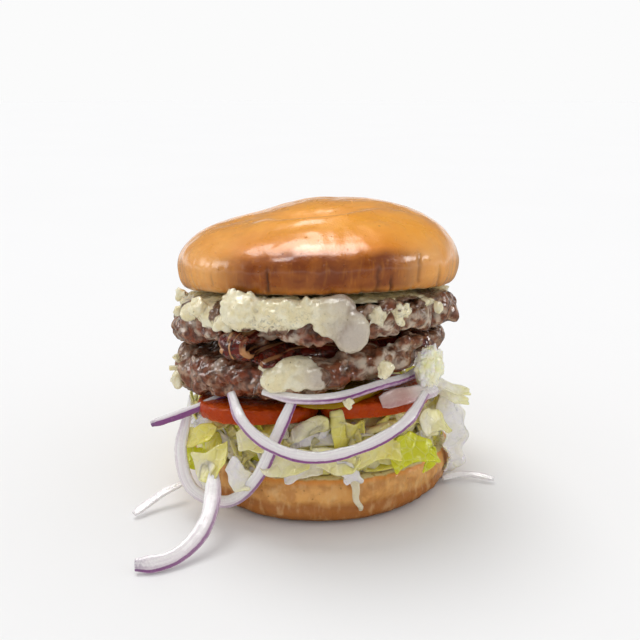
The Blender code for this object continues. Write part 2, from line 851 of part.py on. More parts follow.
def build_lettuce_leaf(material):
    """The pale leaf that hangs at the right, beside the heel."""
    points = [
        (0.0478, -0.0190, 0.0400),
        (0.0530, -0.0180, 0.0307),
        (0.0560, -0.0165, 0.0210),
        (0.0566, -0.0155, 0.0115),
        (0.0535, -0.0160, 0.0030),
    ]

    def width(share):
        return 0.0040 + 0.0062 * math.sin(min(1.0, share * 1.15) * math.pi) ** 0.7 * (0.6 + 0.4 * share)

    def ripple(share, across):
        return 0.0009 * math.sin(across * 620 + share * 7) + 0.0005 * math.sin(share * 17)

    bm = bmesh.new()
    section = flat_section(width, LEAF_THICKNESS, 5)
    strip_mesh(bm, smooth_route(points, 10), steady((0.75, -0.62, 0.25)), section, ripple)
    return add_object("lettuce_leaf_right", bm, material)


def build_lettuce_bits(material):
    """The crumpled heart leaf over the right tomato, and the two shreds that stick out beside it."""
    frill = soft_lump("lettuce_frill", (0.0400, -0.0375, 0.0566), (0.0050, 0.0042, 0.0078), material, 0.30)
    ends = {
        "lettuce_shred_upper": [(0.0420, -0.0270, 0.0470), (0.0591, -0.0200, 0.0395)],
        "lettuce_shred_lower": [(0.0430, -0.0240, 0.0430), (0.0587, -0.0210, 0.0358)],
    }
    rise = Vector((0.0, 0.0, 0.0008))
    built = [frill]
    for name, (start, end) in ends.items():
        points = [start, (Vector(start) + Vector(end)) / 2 + rise, end]
        bm = bmesh.new()
        section = flat_section(lambda share: 0.0019 - 0.0009 * share, LEAF_THICKNESS, 1)
        strip_mesh(bm, smooth_route(points, 5), steady((0.2, -0.85, 0.45)), section)
        built.append(add_object(name, bm, material))
    return built


def main():
    for obj in list(bpy.data.objects):
        bpy.data.objects.remove(obj, do_unlink=True)

    crust = make_material("bun_crust", (0.66, 0.30, 0.07), 0.32)
    heel_crust = make_material("heel_crust", (0.52, 0.26, 0.08), 0.50)
    beef = make_material("beef", (0.15, 0.07, 0.045), 0.38)
    cheese = make_material("blue_cheese", (0.70, 0.66, 0.50), 0.35)
    bacon = make_material("bacon", (0.20, 0.035, 0.018), 0.28)
    tomato = make_material("tomato", (0.50, 0.045, 0.012), 0.22)
    pickle = make_material("pickle", (0.22, 0.20, 0.03), 0.28)
    onion = make_material("red_onion", (0.75, 0.66, 0.70), 0.30)
    lettuce = make_material("lettuce", (0.62, 0.66, 0.28), 0.42)

    heel = build_heel(heel_crust)
    crown = build_crown(crust)
    tomatoes = build_tomatoes(tomato)
    pickles = build_pickles(pickle)
    onions = build_onions(onion)
    rashers = build_bacon(bacon)
    lower_patty = build_lower_patty(beef)
    upper_patty = build_upper_patty(beef)
    upper_cheese = build_upper_cheese(cheese)
    melts = build_melts(cheese)
    crumbs = build_crumbs(cheese)
    leaf = build_lettuce_leaf(lettuce)
    frill, *loose_shreds = build_lettuce_bits(lettuce)
    heap = build_lettuce_heap(lettuce)

    carve(tomatoes[1], tomatoes[:1])
    carve(tomatoes[2], tomatoes[:2])
    for pickle_slice in pickles:
        carve(pickle_slice, tomatoes)
    fixed = [heel, *tomatoes, *pickles]
    for onion_piece in onions:
        carve(onion_piece, fixed)
        fixed.append(onion_piece)
    carve(rashers[1], rashers[:1])
    carve(rashers[2], rashers[:2])
    carve(lower_patty, [*fixed, *rashers])
    carve(upper_patty, [*rashers, lower_patty])
    for melt in melts:
        carve(melt, [lower_patty, upper_patty, *rashers, *onions])
    carve(upper_cheese, [upper_patty, lower_patty, crown, *melts, *rashers])
    for crumb in crumbs:
        carve(crumb, [lower_patty, *melts, upper_cheese, upper_patty])
    for piece in (frill, *loose_shreds, leaf):
        carve(piece, [*fixed, *rashers, lower_patty, upper_patty, upper_cheese])
        fixed.append(piece)
    carve(heap, [*fixed, lower_patty])


main()
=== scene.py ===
"""Looks of the bacon burger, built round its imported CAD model.

Metres, +Z up, the front of the burger towards -Y. Every piece stays where its CAD node is.
"""

import logging
import math
import random
from collections.abc import Callable, Iterable, Sequence
from dataclasses import dataclass
from enum import Enum

import bmesh
import bpy
import numpy as np
from bmesh.types import BMesh
from bpy.types import Material, Node, NodeSocket, NodeTree, Object
from mathutils import Matrix, Vector, noise


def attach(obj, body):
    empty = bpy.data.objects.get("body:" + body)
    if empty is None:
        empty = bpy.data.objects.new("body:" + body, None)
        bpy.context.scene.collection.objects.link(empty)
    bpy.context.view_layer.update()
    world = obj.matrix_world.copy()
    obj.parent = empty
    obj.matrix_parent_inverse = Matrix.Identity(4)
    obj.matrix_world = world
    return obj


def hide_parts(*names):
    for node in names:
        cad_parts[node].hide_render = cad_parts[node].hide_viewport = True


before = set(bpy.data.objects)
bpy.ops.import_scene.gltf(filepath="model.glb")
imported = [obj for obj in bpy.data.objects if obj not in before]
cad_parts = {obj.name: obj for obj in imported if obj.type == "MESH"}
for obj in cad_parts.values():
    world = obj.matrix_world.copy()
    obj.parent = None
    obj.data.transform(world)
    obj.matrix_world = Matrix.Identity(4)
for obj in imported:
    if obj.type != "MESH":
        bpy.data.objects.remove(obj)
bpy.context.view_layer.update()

LOG = logging.getLogger("burger")
BODY = "root"
MERGE_DISTANCE = 1e-6
ROUGH_POINTS = 40
LEAST_POINTS = 12
PORE_WANDER = 0.0008
EVEN = 0.5
UP = Vector((0.0, 0.0, 1.0))
UNTURNED = Matrix.Identity(3)

Colour = tuple[float, float, float]
Point = tuple[float, float, float]
Field = Callable[[Vector, Vector], float]


class Slot(Enum):
    """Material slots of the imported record."""

    CROWN = "bun_crown"
    HEEL = "bun_heel"
    BEEF = "beef"
    CHEESE = "blue_cheese"
    BACON = "bacon"
    TOMATO = "tomato"
    PICKLE = "pickle"
    ONION = "red_onion"
    LETTUCE = "lettuce"


# Small sums


def rgb(red: int, green: int, blue: int) -> Colour:
    """A colour given in display values from 0 to 255, as linear light.

    Args:
        red: Display red.
        green: Display green.
        blue: Display blue.

    Returns:
        The linear colour.
    """
    shares = (channel / 255 for channel in (red, green, blue))
    return tuple(s / 12.92 if s <= 0.04045 else ((s + 0.055) / 1.055) ** 2.4 for s in shares)


def eased(value: float, low: float, high: float) -> float:
    """Smooth step between two values.

    Args:
        value: Where to read the step.
        low: Value at and below which it is 0.
        high: Value at and above which it is 1.

    Returns:
        A share from 0 to 1.
    """
    t = min(max((value - low) / (high - low), 0.0), 1.0)
    return t * t * (3 - 2 * t)


def plane(layer: tuple[float, float, float], spot: Vector) -> float:
    """Height of a leaning layer over a point.

    Args:
        layer: Height at the centre, slope to the right and fall to the back.
        spot: The point.

    Returns:
        The height in metres.
    """
    height, to_right, to_back = layer
    return height + to_right * spot.x - to_back * spot.y


def smooth_route(points: Sequence[Point], count: int) -> list[Vector]:
    """Evenly numbered points on a smooth curve through the given ones.

    Args:
        points: Points that the curve passes through.
        count: How many points to return.

    Returns:
        The points of the curve.
    """
    knots = [Vector(p) for p in points]
    knots = [2 * knots[0] - knots[1], *knots, 2 * knots[-1] - knots[-2]]
    spans = len(points) - 1
    route = []
    for i in range(count):
        at = i / (count - 1) * spans
        k = min(int(at), spans - 1)
        t = at - k
        a, b, c, d = knots[k : k + 4]
        curve = 2 * b + (c - a) * t + (2 * a - 5 * b + 4 * c - d) * t * t + (3 * b - a - 3 * c + d) * t**3
        route.append(curve / 2)
    return route


@dataclass(frozen=True)
class Spot:
    """A soft round patch on a piece: its centre, how far it reaches and how strong it is."""

    centre: Point
    reach: float
    strength: float = 1.0

    def at(self, place: Vector) -> float:
        """Strength of the patch at a point."""
        off = (place - Vector(self.centre)).length / self.reach
        return self.strength * math.exp(-off * off)


def patches(spots: Iterable[Spot]) -> Field:
    """A field that is the strongest of several patches at each point.

    Args:
        spots: The patches.

    Returns:
        The field.
    """
    kept = list(spots)
    return lambda place, normal: max((spot.at(place) for spot in kept), default=0.0)


def fine_route(points: Sequence[Point], step: float) -> tuple[list[Vector], float]:
    """A smooth curve through the given points, with points about a step apart.

    Args:
        points: Points that the curve passes through.
        step: Distance between its points.

    Returns:
        The points of the curve, and its length.
    """
    rough = smooth_route(points, ROUGH_POINTS)
    length = sum((b - a).length for a, b in zip(rough, rough[1:]))
    return smooth_route(points, max(LEAST_POINTS, int(length / step))), length


def axes_along(route: list[Vector], i: int, face: Point, centre: Point | None) -> tuple[Vector, Vector]:
    """The two directions across a line at one of its points.

    Args:
        route: Points of the line.
        i: Number of the point.
        face: The way that the broad side looks, or that the edge does where there is a centre.
        centre: What the outward direction points away from, if anything.

    Returns:
        The outward direction, and the one square to it and to the line.
    """
    last = len(route) - 1
    ahead = (route[min(i + 1, last)] - route[max(i - 1, 0)]).normalized()
    out = Vector(face)
    if centre:
        out = out.cross(ahead)
        if out.dot(route[i] - Vector(centre)) < 0:
            out = -out
    out = (out - ahead * out.dot(ahead)).normalized()
    return out, ahead.cross(out)


def toward(azimuth: float, rise: float = 0.0) -> Vector:
    """The level direction at an angle round the middle, with a rise."""
    return Vector((math.cos(azimuth), math.sin(azimuth), rise))


def lumpy(*layers: tuple[float, float], level: float = 0.0) -> Field:
    """A field of soft noise.

    Args:
        layers: Strength and size of each layer of lumps.
        level: What the lumps are added to.

    Returns:
        The field.
    """

    def rise(place: Vector, normal: Vector) -> float:
        """The noise at a place."""
        return level + sum(strength * noise.noise(place / size) for strength, size in layers)

    return rise


# Mesh work that several pieces share


def node_mesh(node: str) -> BMesh:
    """A copy of a CAD node's mesh with its loose corners joined.

    Args:
        node: Name of the CAD node.

    Returns:
        The copy.
    """
    bm = bmesh.new()
    bm.from_mesh(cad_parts[node].data)
    bmesh.ops.remove_doubles(bm, verts=bm.verts, dist=MERGE_DISTANCE)
    return bm


def skinned(bm: BMesh, voxel: float, rounds: int) -> BMesh:
    """One even, softened skin round all the closed bodies of a mesh, which is used up.

    Args:
        bm: The bodies.
        voxel: Size of the skin's cells.
        rounds: How many times it is smoothed.

    Returns:
        The skin.
    """
    mesh = bpy.data.meshes.new("draft")
    bm.to_mesh(mesh)
    bm.free()
    draft = bpy.data.objects.new("draft", mesh)
    bpy.context.scene.collection.objects.link(draft)
    remesh = draft.modifiers.new("skin", "REMESH")
    remesh.mode = "VOXEL"
    remesh.voxel_size = voxel
    graph = bpy.context.evaluated_depsgraph_get()
    skin = bpy.data.meshes.new_from_object(draft.evaluated_get(graph))
    result = bmesh.new()
    result.from_mesh(skin)
    bpy.data.objects.remove(draft)
    bpy.data.meshes.remove(mesh)
    bpy.data.meshes.remove(skin)
    for _ in range(rounds):
        bmesh.ops.smooth_vert(
            result, verts=result.verts, factor=0.5, use_axis_x=True, use_axis_y=True, use_axis_z=True
        )
    return result


def press(bm: BMesh, push: Field) -> None:
    """Moves every point along its normal.

    Args:
        bm: The mesh to shape.
        push: Distance for a place and its normal.
    """
    bm.normal_update()
    moved = [vert.co + vert.normal * push(vert.co, vert.normal) for vert in bm.verts]
    for vert, place in zip(bm.verts, moved):
        vert.co = place


def paint(bm: BMesh, name: str, value: Field) -> None:
    """Stores a number at every point for the materials to read.

    Args:
        bm: The mesh.
        name: Name of the attribute.
        value: Number for a place and its normal.
    """
    layer = bm.verts.layers.float.new(name)
    bm.normal_update()
    for vert in bm.verts:
        vert[layer] = value(vert.co, vert.normal)


def mark_hollows(bm: BMesh, rounds: int = 8, depth: float = 0.0010) -> None:
    """Stores how deep each point lies in its surroundings, for the materials' painted shade: EVEN on an even
    stretch and 1 where it lies deepest.

    Args:
        bm: The mesh.
        rounds: How far the surroundings reach, in rounds of averaging.
        depth: Depth below the surroundings that counts as 1.
    """
    bm.normal_update()
    bm.verts.index_update()
    places = np.array([vert.co for vert in bm.verts])
    normals = np.array([vert.normal for vert in bm.verts])
    ends = np.array([[vert.index for vert in edge.verts] for edge in bm.edges])
    counts = np.bincount(ends.ravel(), minlength=len(places))[:, None]
    level = places.copy()
    for _ in range(rounds):
        total = np.zeros_like(level)
        np.add.at(total, ends[:, 0], level[ends[:, 1]])
        np.add.at(total, ends[:, 1], level[ends[:, 0]])
        level = total / counts
    below = ((level - places) * normals).sum(axis=1)
    shares = np.clip(EVEN + below / (2 * depth), 0.0, 1.0)
    layer = bm.verts.layers.float.new("hollow")
    for vert, share in zip(bm.verts, shares):
        vert[layer] = share


def add_lump(
    bm: BMesh, centre: Vector, radii: Sequence[float], turn: Matrix = UNTURNED, detail: int = 2
) -> None:
    """Adds one closed rounded lump.

    Args:
        bm: Mesh to add it to.
        centre: Its middle.
        radii: Its three radii.
        turn: Rotation of its axes.
        detail: Subdivisions of the ball that it starts from.
    """
    shape = Matrix.Translation(centre) @ turn.to_4x4() @ Matrix.Diagonal((*radii, 1.0))
    bmesh.ops.create_icosphere(bm, subdivisions=detail, radius=1.0, matrix=shape)


def add_chip(bm: BMesh, centre: Vector, sides: Sequence[float], turn: Matrix) -> None:
    """Adds one closed square-cut chip.

    Args:
        bm: Mesh to add it to.
        centre: Its middle.
        sides: Its three half sides.
        turn: Rotation of its axes.
    """
    shape = Matrix.Translation(centre) @ turn.to_4x4() @ Matrix.Diagonal((*sides, 1.0))
    bmesh.ops.create_cube(bm, size=2.0, matrix=shape)


def append(bm: BMesh, more: BMesh) -> None:
    """Adds a second mesh to the first.

    Args:
        bm: The mesh to add to.
        more: The second mesh, which is used up.
    """
    mesh = bpy.data.meshes.new("draft")
    more.to_mesh(mesh)
    more.free()
    bm.from_mesh(mesh)
    bpy.data.meshes.remove(mesh)


def tube(stations: int, around: int) -> BMesh:
    """A closed tube whose points know their station along it and their seat round it.

    Args:
        stations: How many sections it has.
        around: How many points each section has.

    Returns:
        The tube, with whole-number layers named station and seat.
    """
    bm = bmesh.new()
    seat = bm.verts.layers.int.new("seat")
    station = bm.verts.layers.int.new("station")
    made = bmesh.ops.create_circle(bm, cap_ends=False, segments=around, radius=1.0)
    for i, vert in enumerate(made["verts"]):
        vert[seat] = i
    edges = bm.edges[:]
    for i in range(1, stations):
        made = bmesh.ops.extrude_edge_only(bm, edges=edges)["geom"]
        fresh = {part for part in made if isinstance(part, bmesh.types.BMVert)}
        for vert in fresh:
            vert[station] = i
        joined = (part for part in made if isinstance(part, bmesh.types.BMEdge))
        edges = [edge for edge in joined if fresh.issuperset(edge.verts)]
    bmesh.ops.holes_fill(bm, edges=bm.edges, sides=around)
    return bm


def axes_on(normal: Vector, turn: float) -> Matrix:
    """Axes of something that lies on a surface.

    Args:
        normal: Direction away from the surface.
        turn: Angle of its length within the surface.

    Returns:
        A rotation whose Z is the normal.
    """
    return normal.to_track_quat("Z", "Y").to_matrix() @ Matrix.Rotation(turn, 3, "Z")


def scatter_places(
    bm: BMesh, rng: random.Random, count: int, keep: Callable[[Vector, Vector], bool]
) -> list[tuple[Vector, Vector]]:
    """Random places on a mesh's skin.

    Args:
        bm: The mesh.
        rng: Source of the random draws.
        count: How many places.
        keep: Whether a place with its normal may be used.

    Returns:
        Pairs of place and normal.
    """
    bm.normal_update()
    faces = [face for face in bm.faces if keep(face.calc_center_median(), face.normal)]
    chosen = rng.choices(faces, weights=[face.calc_area() for face in faces], k=count)
    places = []
    for face in chosen:
        corners = [vert.co for vert in face.verts]
        shares = [rng.random() + 0.01 for _ in corners]
        place = sum((corner * share for corner, share in zip(corners, shares)), Vector()) / sum(shares)
        places.append((place, face.normal.copy()))
    return places


def add_piece(name: str, bm: BMesh, material: Material, nodes: Sequence[str] = ()) -> Object:
    """The finished mesh as a piece that rides on the burger.

    Args:
        name: Name of the piece.
        bm: Its mesh, which is used up.
        material: Its finish.
        nodes: CAD nodes that it stands for.

    Returns:
        The piece.
    """
    for vert in bm.verts:
        vert.co.z = max(vert.co.z, 0.0)
    mesh = bpy.data.meshes.new(name)
    bm.to_mesh(mesh)
    bm.free()
    mesh.materials.append(material)
    mesh.shade_smooth()
    piece = bpy.data.objects.new(name, mesh)
    bpy.context.scene.collection.objects.link(piece)
    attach(piece, BODY)
    if nodes:
        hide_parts(*nodes)
    return piece


# Node trees


class Graph:
    """Short calls that build one node tree."""

    def __init__(self, tree: NodeTree) -> None:
        """Starts on a tree."""
        self.tree = tree

    def add(self, kind: str, inputs: dict | None = None, **settings: object) -> Node:
        """Adds a node.

        Args:
            kind: Blender's name for the kind of node.
            inputs: Values or sockets for its inputs, by name or number.
            settings: Properties of the node.

        Returns:
            The node.
        """
        node = self.tree.nodes.new(kind)
        for name, value in settings.items():
            setattr(node, name, value)
        for name, value in (inputs or {}).items():
            self.feed(node.inputs[name], value)
        return node

    def feed(self, socket: NodeSocket, value: object) -> None:
        """Links a socket, or sets it to a value.

        Args:
            socket: The input.
            value: An output socket, a number, or a colour or vector of three numbers.
        """
        if isinstance(value, NodeSocket):
            self.tree.links.new(value, socket)
        elif socket.type == "RGBA":
            socket.default_value = (*value, 1.0)
        else:
            socket.default_value = value

    def places(self) -> NodeSocket:
        """Object coordinates."""
        return self.add("ShaderNodeTexCoord").outputs["Object"]

    def attribute(self, name: str) -> NodeSocket:
        """The number stored at each point under a name."""
        return self.add("ShaderNodeAttribute", attribute_name=name).outputs["Fac"]

    def stretched(self, vector: NodeSocket, scale: Sequence[float]) -> NodeSocket:
        """Coordinates scaled along each axis."""
        return self.add("ShaderNodeMapping", {"Vector": vector, "Scale": scale}).outputs[0]

    def noise(
        self, vector: NodeSocket, scale: object, detail: float = 2.0, distortion: float = 0.0
    ) -> NodeSocket:
        """Cloudy noise.

        Args:
            vector: Coordinates to read it at.
            scale: Clouds per metre.
            detail: How many finer layers it has.
            distortion: How much it is swirled.

        Returns:
            A number about 0.5.
        """
        inputs = {"Vector": vector, "Scale": scale, "Detail": detail, "Distortion": distortion}
        return self.add("ShaderNodeTexNoise", inputs).outputs[0]

    def cells(self, vector: NodeSocket, scale: object, feature: str = "F1") -> NodeSocket:
        """Distance to the nearest cell centre or edge.

        Args:
            vector: Coordinates to read it at.
            scale: Cells per metre.
            feature: Blender's name for what is measured.

        Returns:
            The distance in cells.
        """
        inputs = {"Vector": vector, "Scale": scale}
        return self.add("ShaderNodeTexVoronoi", inputs, feature=feature).outputs["Distance"]

    def times(self, first: object, second: object) -> NodeSocket:
        """The product of two numbers, kept from 0 to 1."""
        inputs = {0: first, 1: second}
        return self.add("ShaderNodeMath", inputs, operation="MULTIPLY", use_clamp=True).outputs[0]

    def range(
        self, value: NodeSocket, low: float, high: float, start: object = 0.0, end: object = 1.0
    ) -> NodeSocket:
        """Maps a range of values to another, with smooth ends.

        Args:
            value: The value.
            low: Where the result is start.
            high: Where the result is end.
            start: First result.
            end: Last result.

        Returns:
            The mapped value.
        """
        inputs = {"Value": value, "From Min": low, "From Max": high, "To Min": start, "To Max": end}
        return self.add("ShaderNodeMapRange", inputs, interpolation_type="SMOOTHSTEP").outputs[0]

    def choice(self, share: NodeSocket, first: object, second: object) -> NodeSocket:
        """The second of two numbers where the share is 1, and else the first."""
        return self.add("ShaderNodeMapRange", {"Value": share, "To Min": first, "To Max": second}).outputs[0]

    def mix(self, share: object, first: object, second: object, blend: str = "MIX") -> NodeSocket:
        """Blends two colours.

        Args:
            share: How much of the second.
            first: First colour.
            second: Second colour.
            blend: Blender's name for the way of blending.

        Returns:
            The colour.
        """
        node = self.add("ShaderNodeMix", {0: share, 6: first, 7: second}, data_type="RGBA", blend_type=blend)
        return node.outputs[2]

    def ramp(self, value: NodeSocket, stops: Sequence[tuple[float, Colour]]) -> NodeSocket:
        """Colours along a value.

        Args:
            value: The value.
            stops: Places from 0 to 1, each with its colour.

        Returns:
            The colour.
        """
        node = self.add("ShaderNodeValToRGB", {0: value})
        elements = node.color_ramp.elements
        while len(elements) < len(stops):
            elements.new(0.5)
        for element, (place, colour) in zip(elements, stops):
            element.position = place
            element.color = (*colour, 1.0)
        return node.outputs[0]

    def shaken(self, value: NodeSocket, places: NodeSocket, scale: float, amount: float) -> NodeSocket:
        """A value with soft clouds added, so that its borders wander.

        Args:
            value: The value.
            places: Coordinates of the clouds.
            scale: Clouds per metre.
            amount: How far the clouds move the value in all.

        Returns:
            The shaken value.
        """
        clouds = self.noise(places, scale, 3.0)
        inputs = {0: clouds, 1: amount, 2: -amount / 2}
        centred = self.add("ShaderNodeMath", inputs, operation="MULTIPLY_ADD").outputs[0]
        return self.add("ShaderNodeMath", {0: value, 1: centred}, operation="ADD").outputs[0]

    def bump(self, height: NodeSocket, distance: float, normal: NodeSocket | None = None) -> NodeSocket:
        """Relief too fine for the mesh.

        Args:
            height: Height from 0 to 1.
            distance: Depth in metres of a height of 1.
            normal: Normal of a coarser relief under it.

        Returns:
            The normal.
        """
        inputs = {"Height": height, "Distance": distance, "Strength": 1.0}
        if normal is not None:
            inputs["Normal"] = normal
        return self.add("ShaderNodeBump", inputs).outputs[0]

    def group(self, tree: NodeTree, inputs: dict) -> Node:
        """Places a node group with its own values.

        Args:
            tree: The group.
            inputs: Values or sockets for its inputs.

        Returns:
            The group's node.
        """
        return self.add("ShaderNodeGroup", inputs, node_tree=tree)


SOCKET_KINDS = {"float": "NodeSocketFloat", "colour": "NodeSocketColor", "vector": "NodeSocketVector"}


def new_group(name: str, inputs: dict[str, str], outputs: dict[str, str]) -> tuple[NodeTree, Node, Node]:
    """An empty node group with named sockets.

    Args:
        name: Name of the group.
        inputs: Kind of each input by name.
        outputs: Kind of each output by name.

    Returns:
        The group, its input node and its output node.
    """
    tree = bpy.data.node_groups.new(name, "ShaderNodeTree")
    for way, sockets in (("INPUT", inputs), ("OUTPUT", outputs)):
        for label, kind in sockets.items():
            tree.interface.new_socket(name=label, in_out=way, socket_type=SOCKET_KINDS[kind])
    return tree, tree.nodes.new("NodeGroupInput"), tree.nodes.new("NodeGroupOutput")


def mottle_group() -> NodeTree:
    """Uneven colour, as in any food: two colours in soft clouds with finer ones inside.

    Returns:
        The group.
    """
    kinds = {"Vector": "vector", "Scale": "float", "Colour": "colour", "Shade": "colour", "Amount": "float"}
    tree, given, result = new_group("Mottle", kinds, {"Colour": "colour", "Mask": "float"})
    graph = Graph(tree)
    clouds = graph.noise(given.outputs["Vector"], given.outputs["Scale"], 4.0, 0.6)
    mask = graph.times(graph.range(clouds, 0.36, 0.64), given.outputs["Amount"])
    graph.feed(result.inputs["Colour"], graph.mix(mask, given.outputs["Colour"], given.outputs["Shade"]))
    graph.feed(result.inputs["Mask"], mask)
    return tree


def film_group() -> NodeTree:
    """A wet film: shiny where it pools, duller between, with small ripples.

    Returns:
        The group.
    """
    kinds = {"Vector": "vector", "Scale": "float", "Wet": "float", "Dry": "float"}
    tree, given, result = new_group("Wet film", kinds, {"Roughness": "float", "Height": "float"})
    graph = Graph(tree)
    pools = graph.noise(given.outputs["Vector"], given.outputs["Scale"], 3.0, 0.4)
    roughness = graph.range(pools, 0.38, 0.62, given.outputs["Wet"], given.outputs["Dry"])
    graph.feed(result.inputs["Roughness"], roughness)
    graph.feed(result.inputs["Height"], pools)
    return tree


def pores_group() -> NodeTree:
    """Open pores of cut bread and pits of cheese.

    Returns:
        The group.
    """
    kinds = {"Vector": "vector", "Scale": "float", "Size": "float"}
    tree, given, result = new_group("Pores", kinds, {"Mask": "float"})
    graph = Graph(tree)
    shake = graph.add("ShaderNodeTexNoise", {"Vector": given.outputs["Vector"], "Scale": 700.0})
    inputs = {0: shake.outputs["Color"], 1: (PORE_WANDER,) * 3}
    small = graph.add("ShaderNodeVectorMath", inputs, operation="MULTIPLY")
    inputs = {0: given.outputs["Vector"], 1: small.outputs[0]}
    bent = graph.add("ShaderNodeVectorMath", inputs, operation="ADD")
    holes = graph.cells(bent.outputs[0], given.outputs["Scale"])
    near = graph.add("ShaderNodeMath", {0: given.outputs["Size"], 1: holes}, operation="SUBTRACT").outputs[0]
    graph.feed(result.inputs["Mask"], graph.range(near, 0.0, 0.12))
    return tree


@dataclass(frozen=True)
class Effects:
    """The node groups that the finishes share."""

    mottle: NodeTree
    film: NodeTree
    pores: NodeTree


EFFECTS = Effects(mottle_group(), film_group(), pores_group())


# Finishes


@dataclass(frozen=True)
class Film:
    """How a skin shines: clouds of wet and dry, ripples in the wet, and a fine grain under it."""

    scale: float
    wet: float
    dry: float
    ripple: float
    grain: float
    depth: float


class Surface:
    """One material: its node tree, and the shader that the finish feeds."""

    def __init__(
        self, name: str, coat: float, coat_roughness: float, glow: float, reach: Point, shine: float = 0.5
    ) -> None:
        """Makes the material with the values that are the same all over it.

        Args:
            name: Name of the material.
            coat: Weight of the clear film.
            coat_roughness: Roughness of the clear film.
            glow: Share of light that sinks in.
            reach: How far red, green and blue light sink in.
            shine: Strength of the skin's own reflection.
        """
        self.material = bpy.data.materials.new(name)
        self.material.use_nodes = True
        self.graph = Graph(self.material.node_tree)
        self.shader = self.material.node_tree.nodes["Principled BSDF"]
        constants = {
            "Coat Weight": coat,
            "Coat Roughness": coat_roughness,
            "Subsurface Weight": glow,
            "Subsurface Radius": reach,
            "Subsurface Scale": 1.0,
            "Specular IOR Level": shine,
        }
        for label, value in constants.items():
            self.graph.feed(self.shader.inputs[label], value)
        self.places = self.graph.places()

    def mottled(self, scale: float, colour: object, shade: object, amount: float) -> NodeSocket:
        """Two colours in soft clouds.

        Args:
            scale: Clouds per metre.
            colour: First colour.
            shade: Second colour.
            amount: How much of the second.

        Returns:
            The colour.
        """
        inputs = {"Vector": self.places, "Scale": scale, "Colour": colour, "Shade": shade, "Amount": amount}
        return self.graph.group(EFFECTS.mottle, inputs).outputs["Colour"]

    def pitted(self, scale: float, size: float) -> NodeSocket:
        """Small round spots.

        Args:
            scale: Spots per metre.
            size: Radius of a spot as a share of the space between them.

        Returns:
            1 inside a spot.
        """
        inputs = {"Vector": self.places, "Scale": scale, "Size": size}
        return self.graph.group(EFFECTS.pores, inputs).outputs["Mask"]

    def finish(self, colour: NodeSocket, film: Film, normal: NodeSocket | None = None) -> Material:
        """Feeds the shader.

        Args:
            colour: Base colour.
            film: How the skin shines.
            normal: Normal of a coarser relief.

        Returns:
            The material.
        """
        graph = self.graph
        inputs = {"Vector": self.places, "Scale": film.scale, "Wet": film.wet, "Dry": film.dry}
        sheen = graph.group(EFFECTS.film, inputs)
        fine = graph.bump(graph.noise(self.places, film.grain, 3.0), film.depth, normal)
        graph.feed(self.shader.inputs["Base Color"], colour)
        graph.feed(self.shader.inputs["Roughness"], sheen.outputs["Roughness"])
        graph.feed(self.shader.inputs["Normal"], graph.bump(sheen.outputs["Height"], film.ripple, fine))
        return self.material


@dataclass(frozen=True)
class CrownCrust:
    """Glossy egg-washed crust, gold on top. Its front is painted with shade: dark brown round its lower side,
    paler near the lower edge and dark again in a painted shadow line at the very edge.
    """

    gold: Colour = rgb(250, 168, 48)
    amber: Colour = rgb(230, 138, 34)
    # painted shade: the dark brown of the front's lower side
    belly: Colour = rgb(132, 60, 2)
    low: Colour = rgb(176, 106, 36)
    # painted shadow line along the lower edge of the front
    edge: Colour = rgb(120, 70, 30)
    side: Colour = rgb(246, 176, 94)
    side_edge: Colour = rgb(212, 146, 70)
    # colour of the painted shade in the creases, and of the real dark flecks
    crease: Colour = rgb(92, 44, 12)
    crumb: Colour = rgb(238, 218, 170)
    pore: Colour = rgb(206, 176, 120)
    film: Film = Film(90.0, 0.26, 0.40, 0.00035, 1500.0, 0.00010)

    def make(self) -> Material:
        """Builds the material.

        Returns:
            The material.
        """
        surface = Surface("crown_crust", 0.7, 0.12, 0.05, (0.003, 0.002, 0.0012), 0.5)
        graph, places = surface.graph, surface.places
        level = graph.shaken(graph.attribute("level"), places, 75.0, 0.16)
        # painted shade: the front's ramp, much darker low down than the sides' ramp below
        front = [
            (0.02, self.edge), (0.05, self.low), (0.11, self.belly),
            (0.42, self.belly), (0.54, self.amber), (0.78, self.gold),
        ]
        round_about = [(0.03, self.side_edge), (0.16, self.side), (0.46, self.side), (0.72, self.gold)]
        # the painted shade of the front is mixed in where the crust faces the front
        crust = graph.mix(graph.attribute("front"), graph.ramp(level, round_about), graph.ramp(level, front))
        clouds = surface.mottled(110.0, crust, self.amber, 0.22)
        streaks = graph.noise(graph.stretched(places, (700.0, 700.0, 110.0)), 1.0, 2.0)
        streaked = graph.mix(graph.range(streaks, 0.54, 0.74, 0.0, 0.13), clouds, self.gold)
        blotches = graph.range(graph.noise(places, 60.0), 0.50, 0.62)
        fleck = graph.times(surface.pitted(210.0, 0.15), blotches)
        flecked = graph.mix(graph.times(fleck, 0.7), streaked, self.crease)
        # painted shade: the creases darkened
        creased = graph.mix(graph.attribute("crease"), flecked, self.crease)
        pores = surface.pitted(420.0, 0.34)
        crumb = graph.mix(pores, self.crumb, self.pore)
        colour = graph.mix(graph.attribute("cut"), creased, crumb)
        blisters = graph.bump(surface.pitted(330.0, 0.14), 0.0003)
        return surface.finish(colour, self.film, blisters)


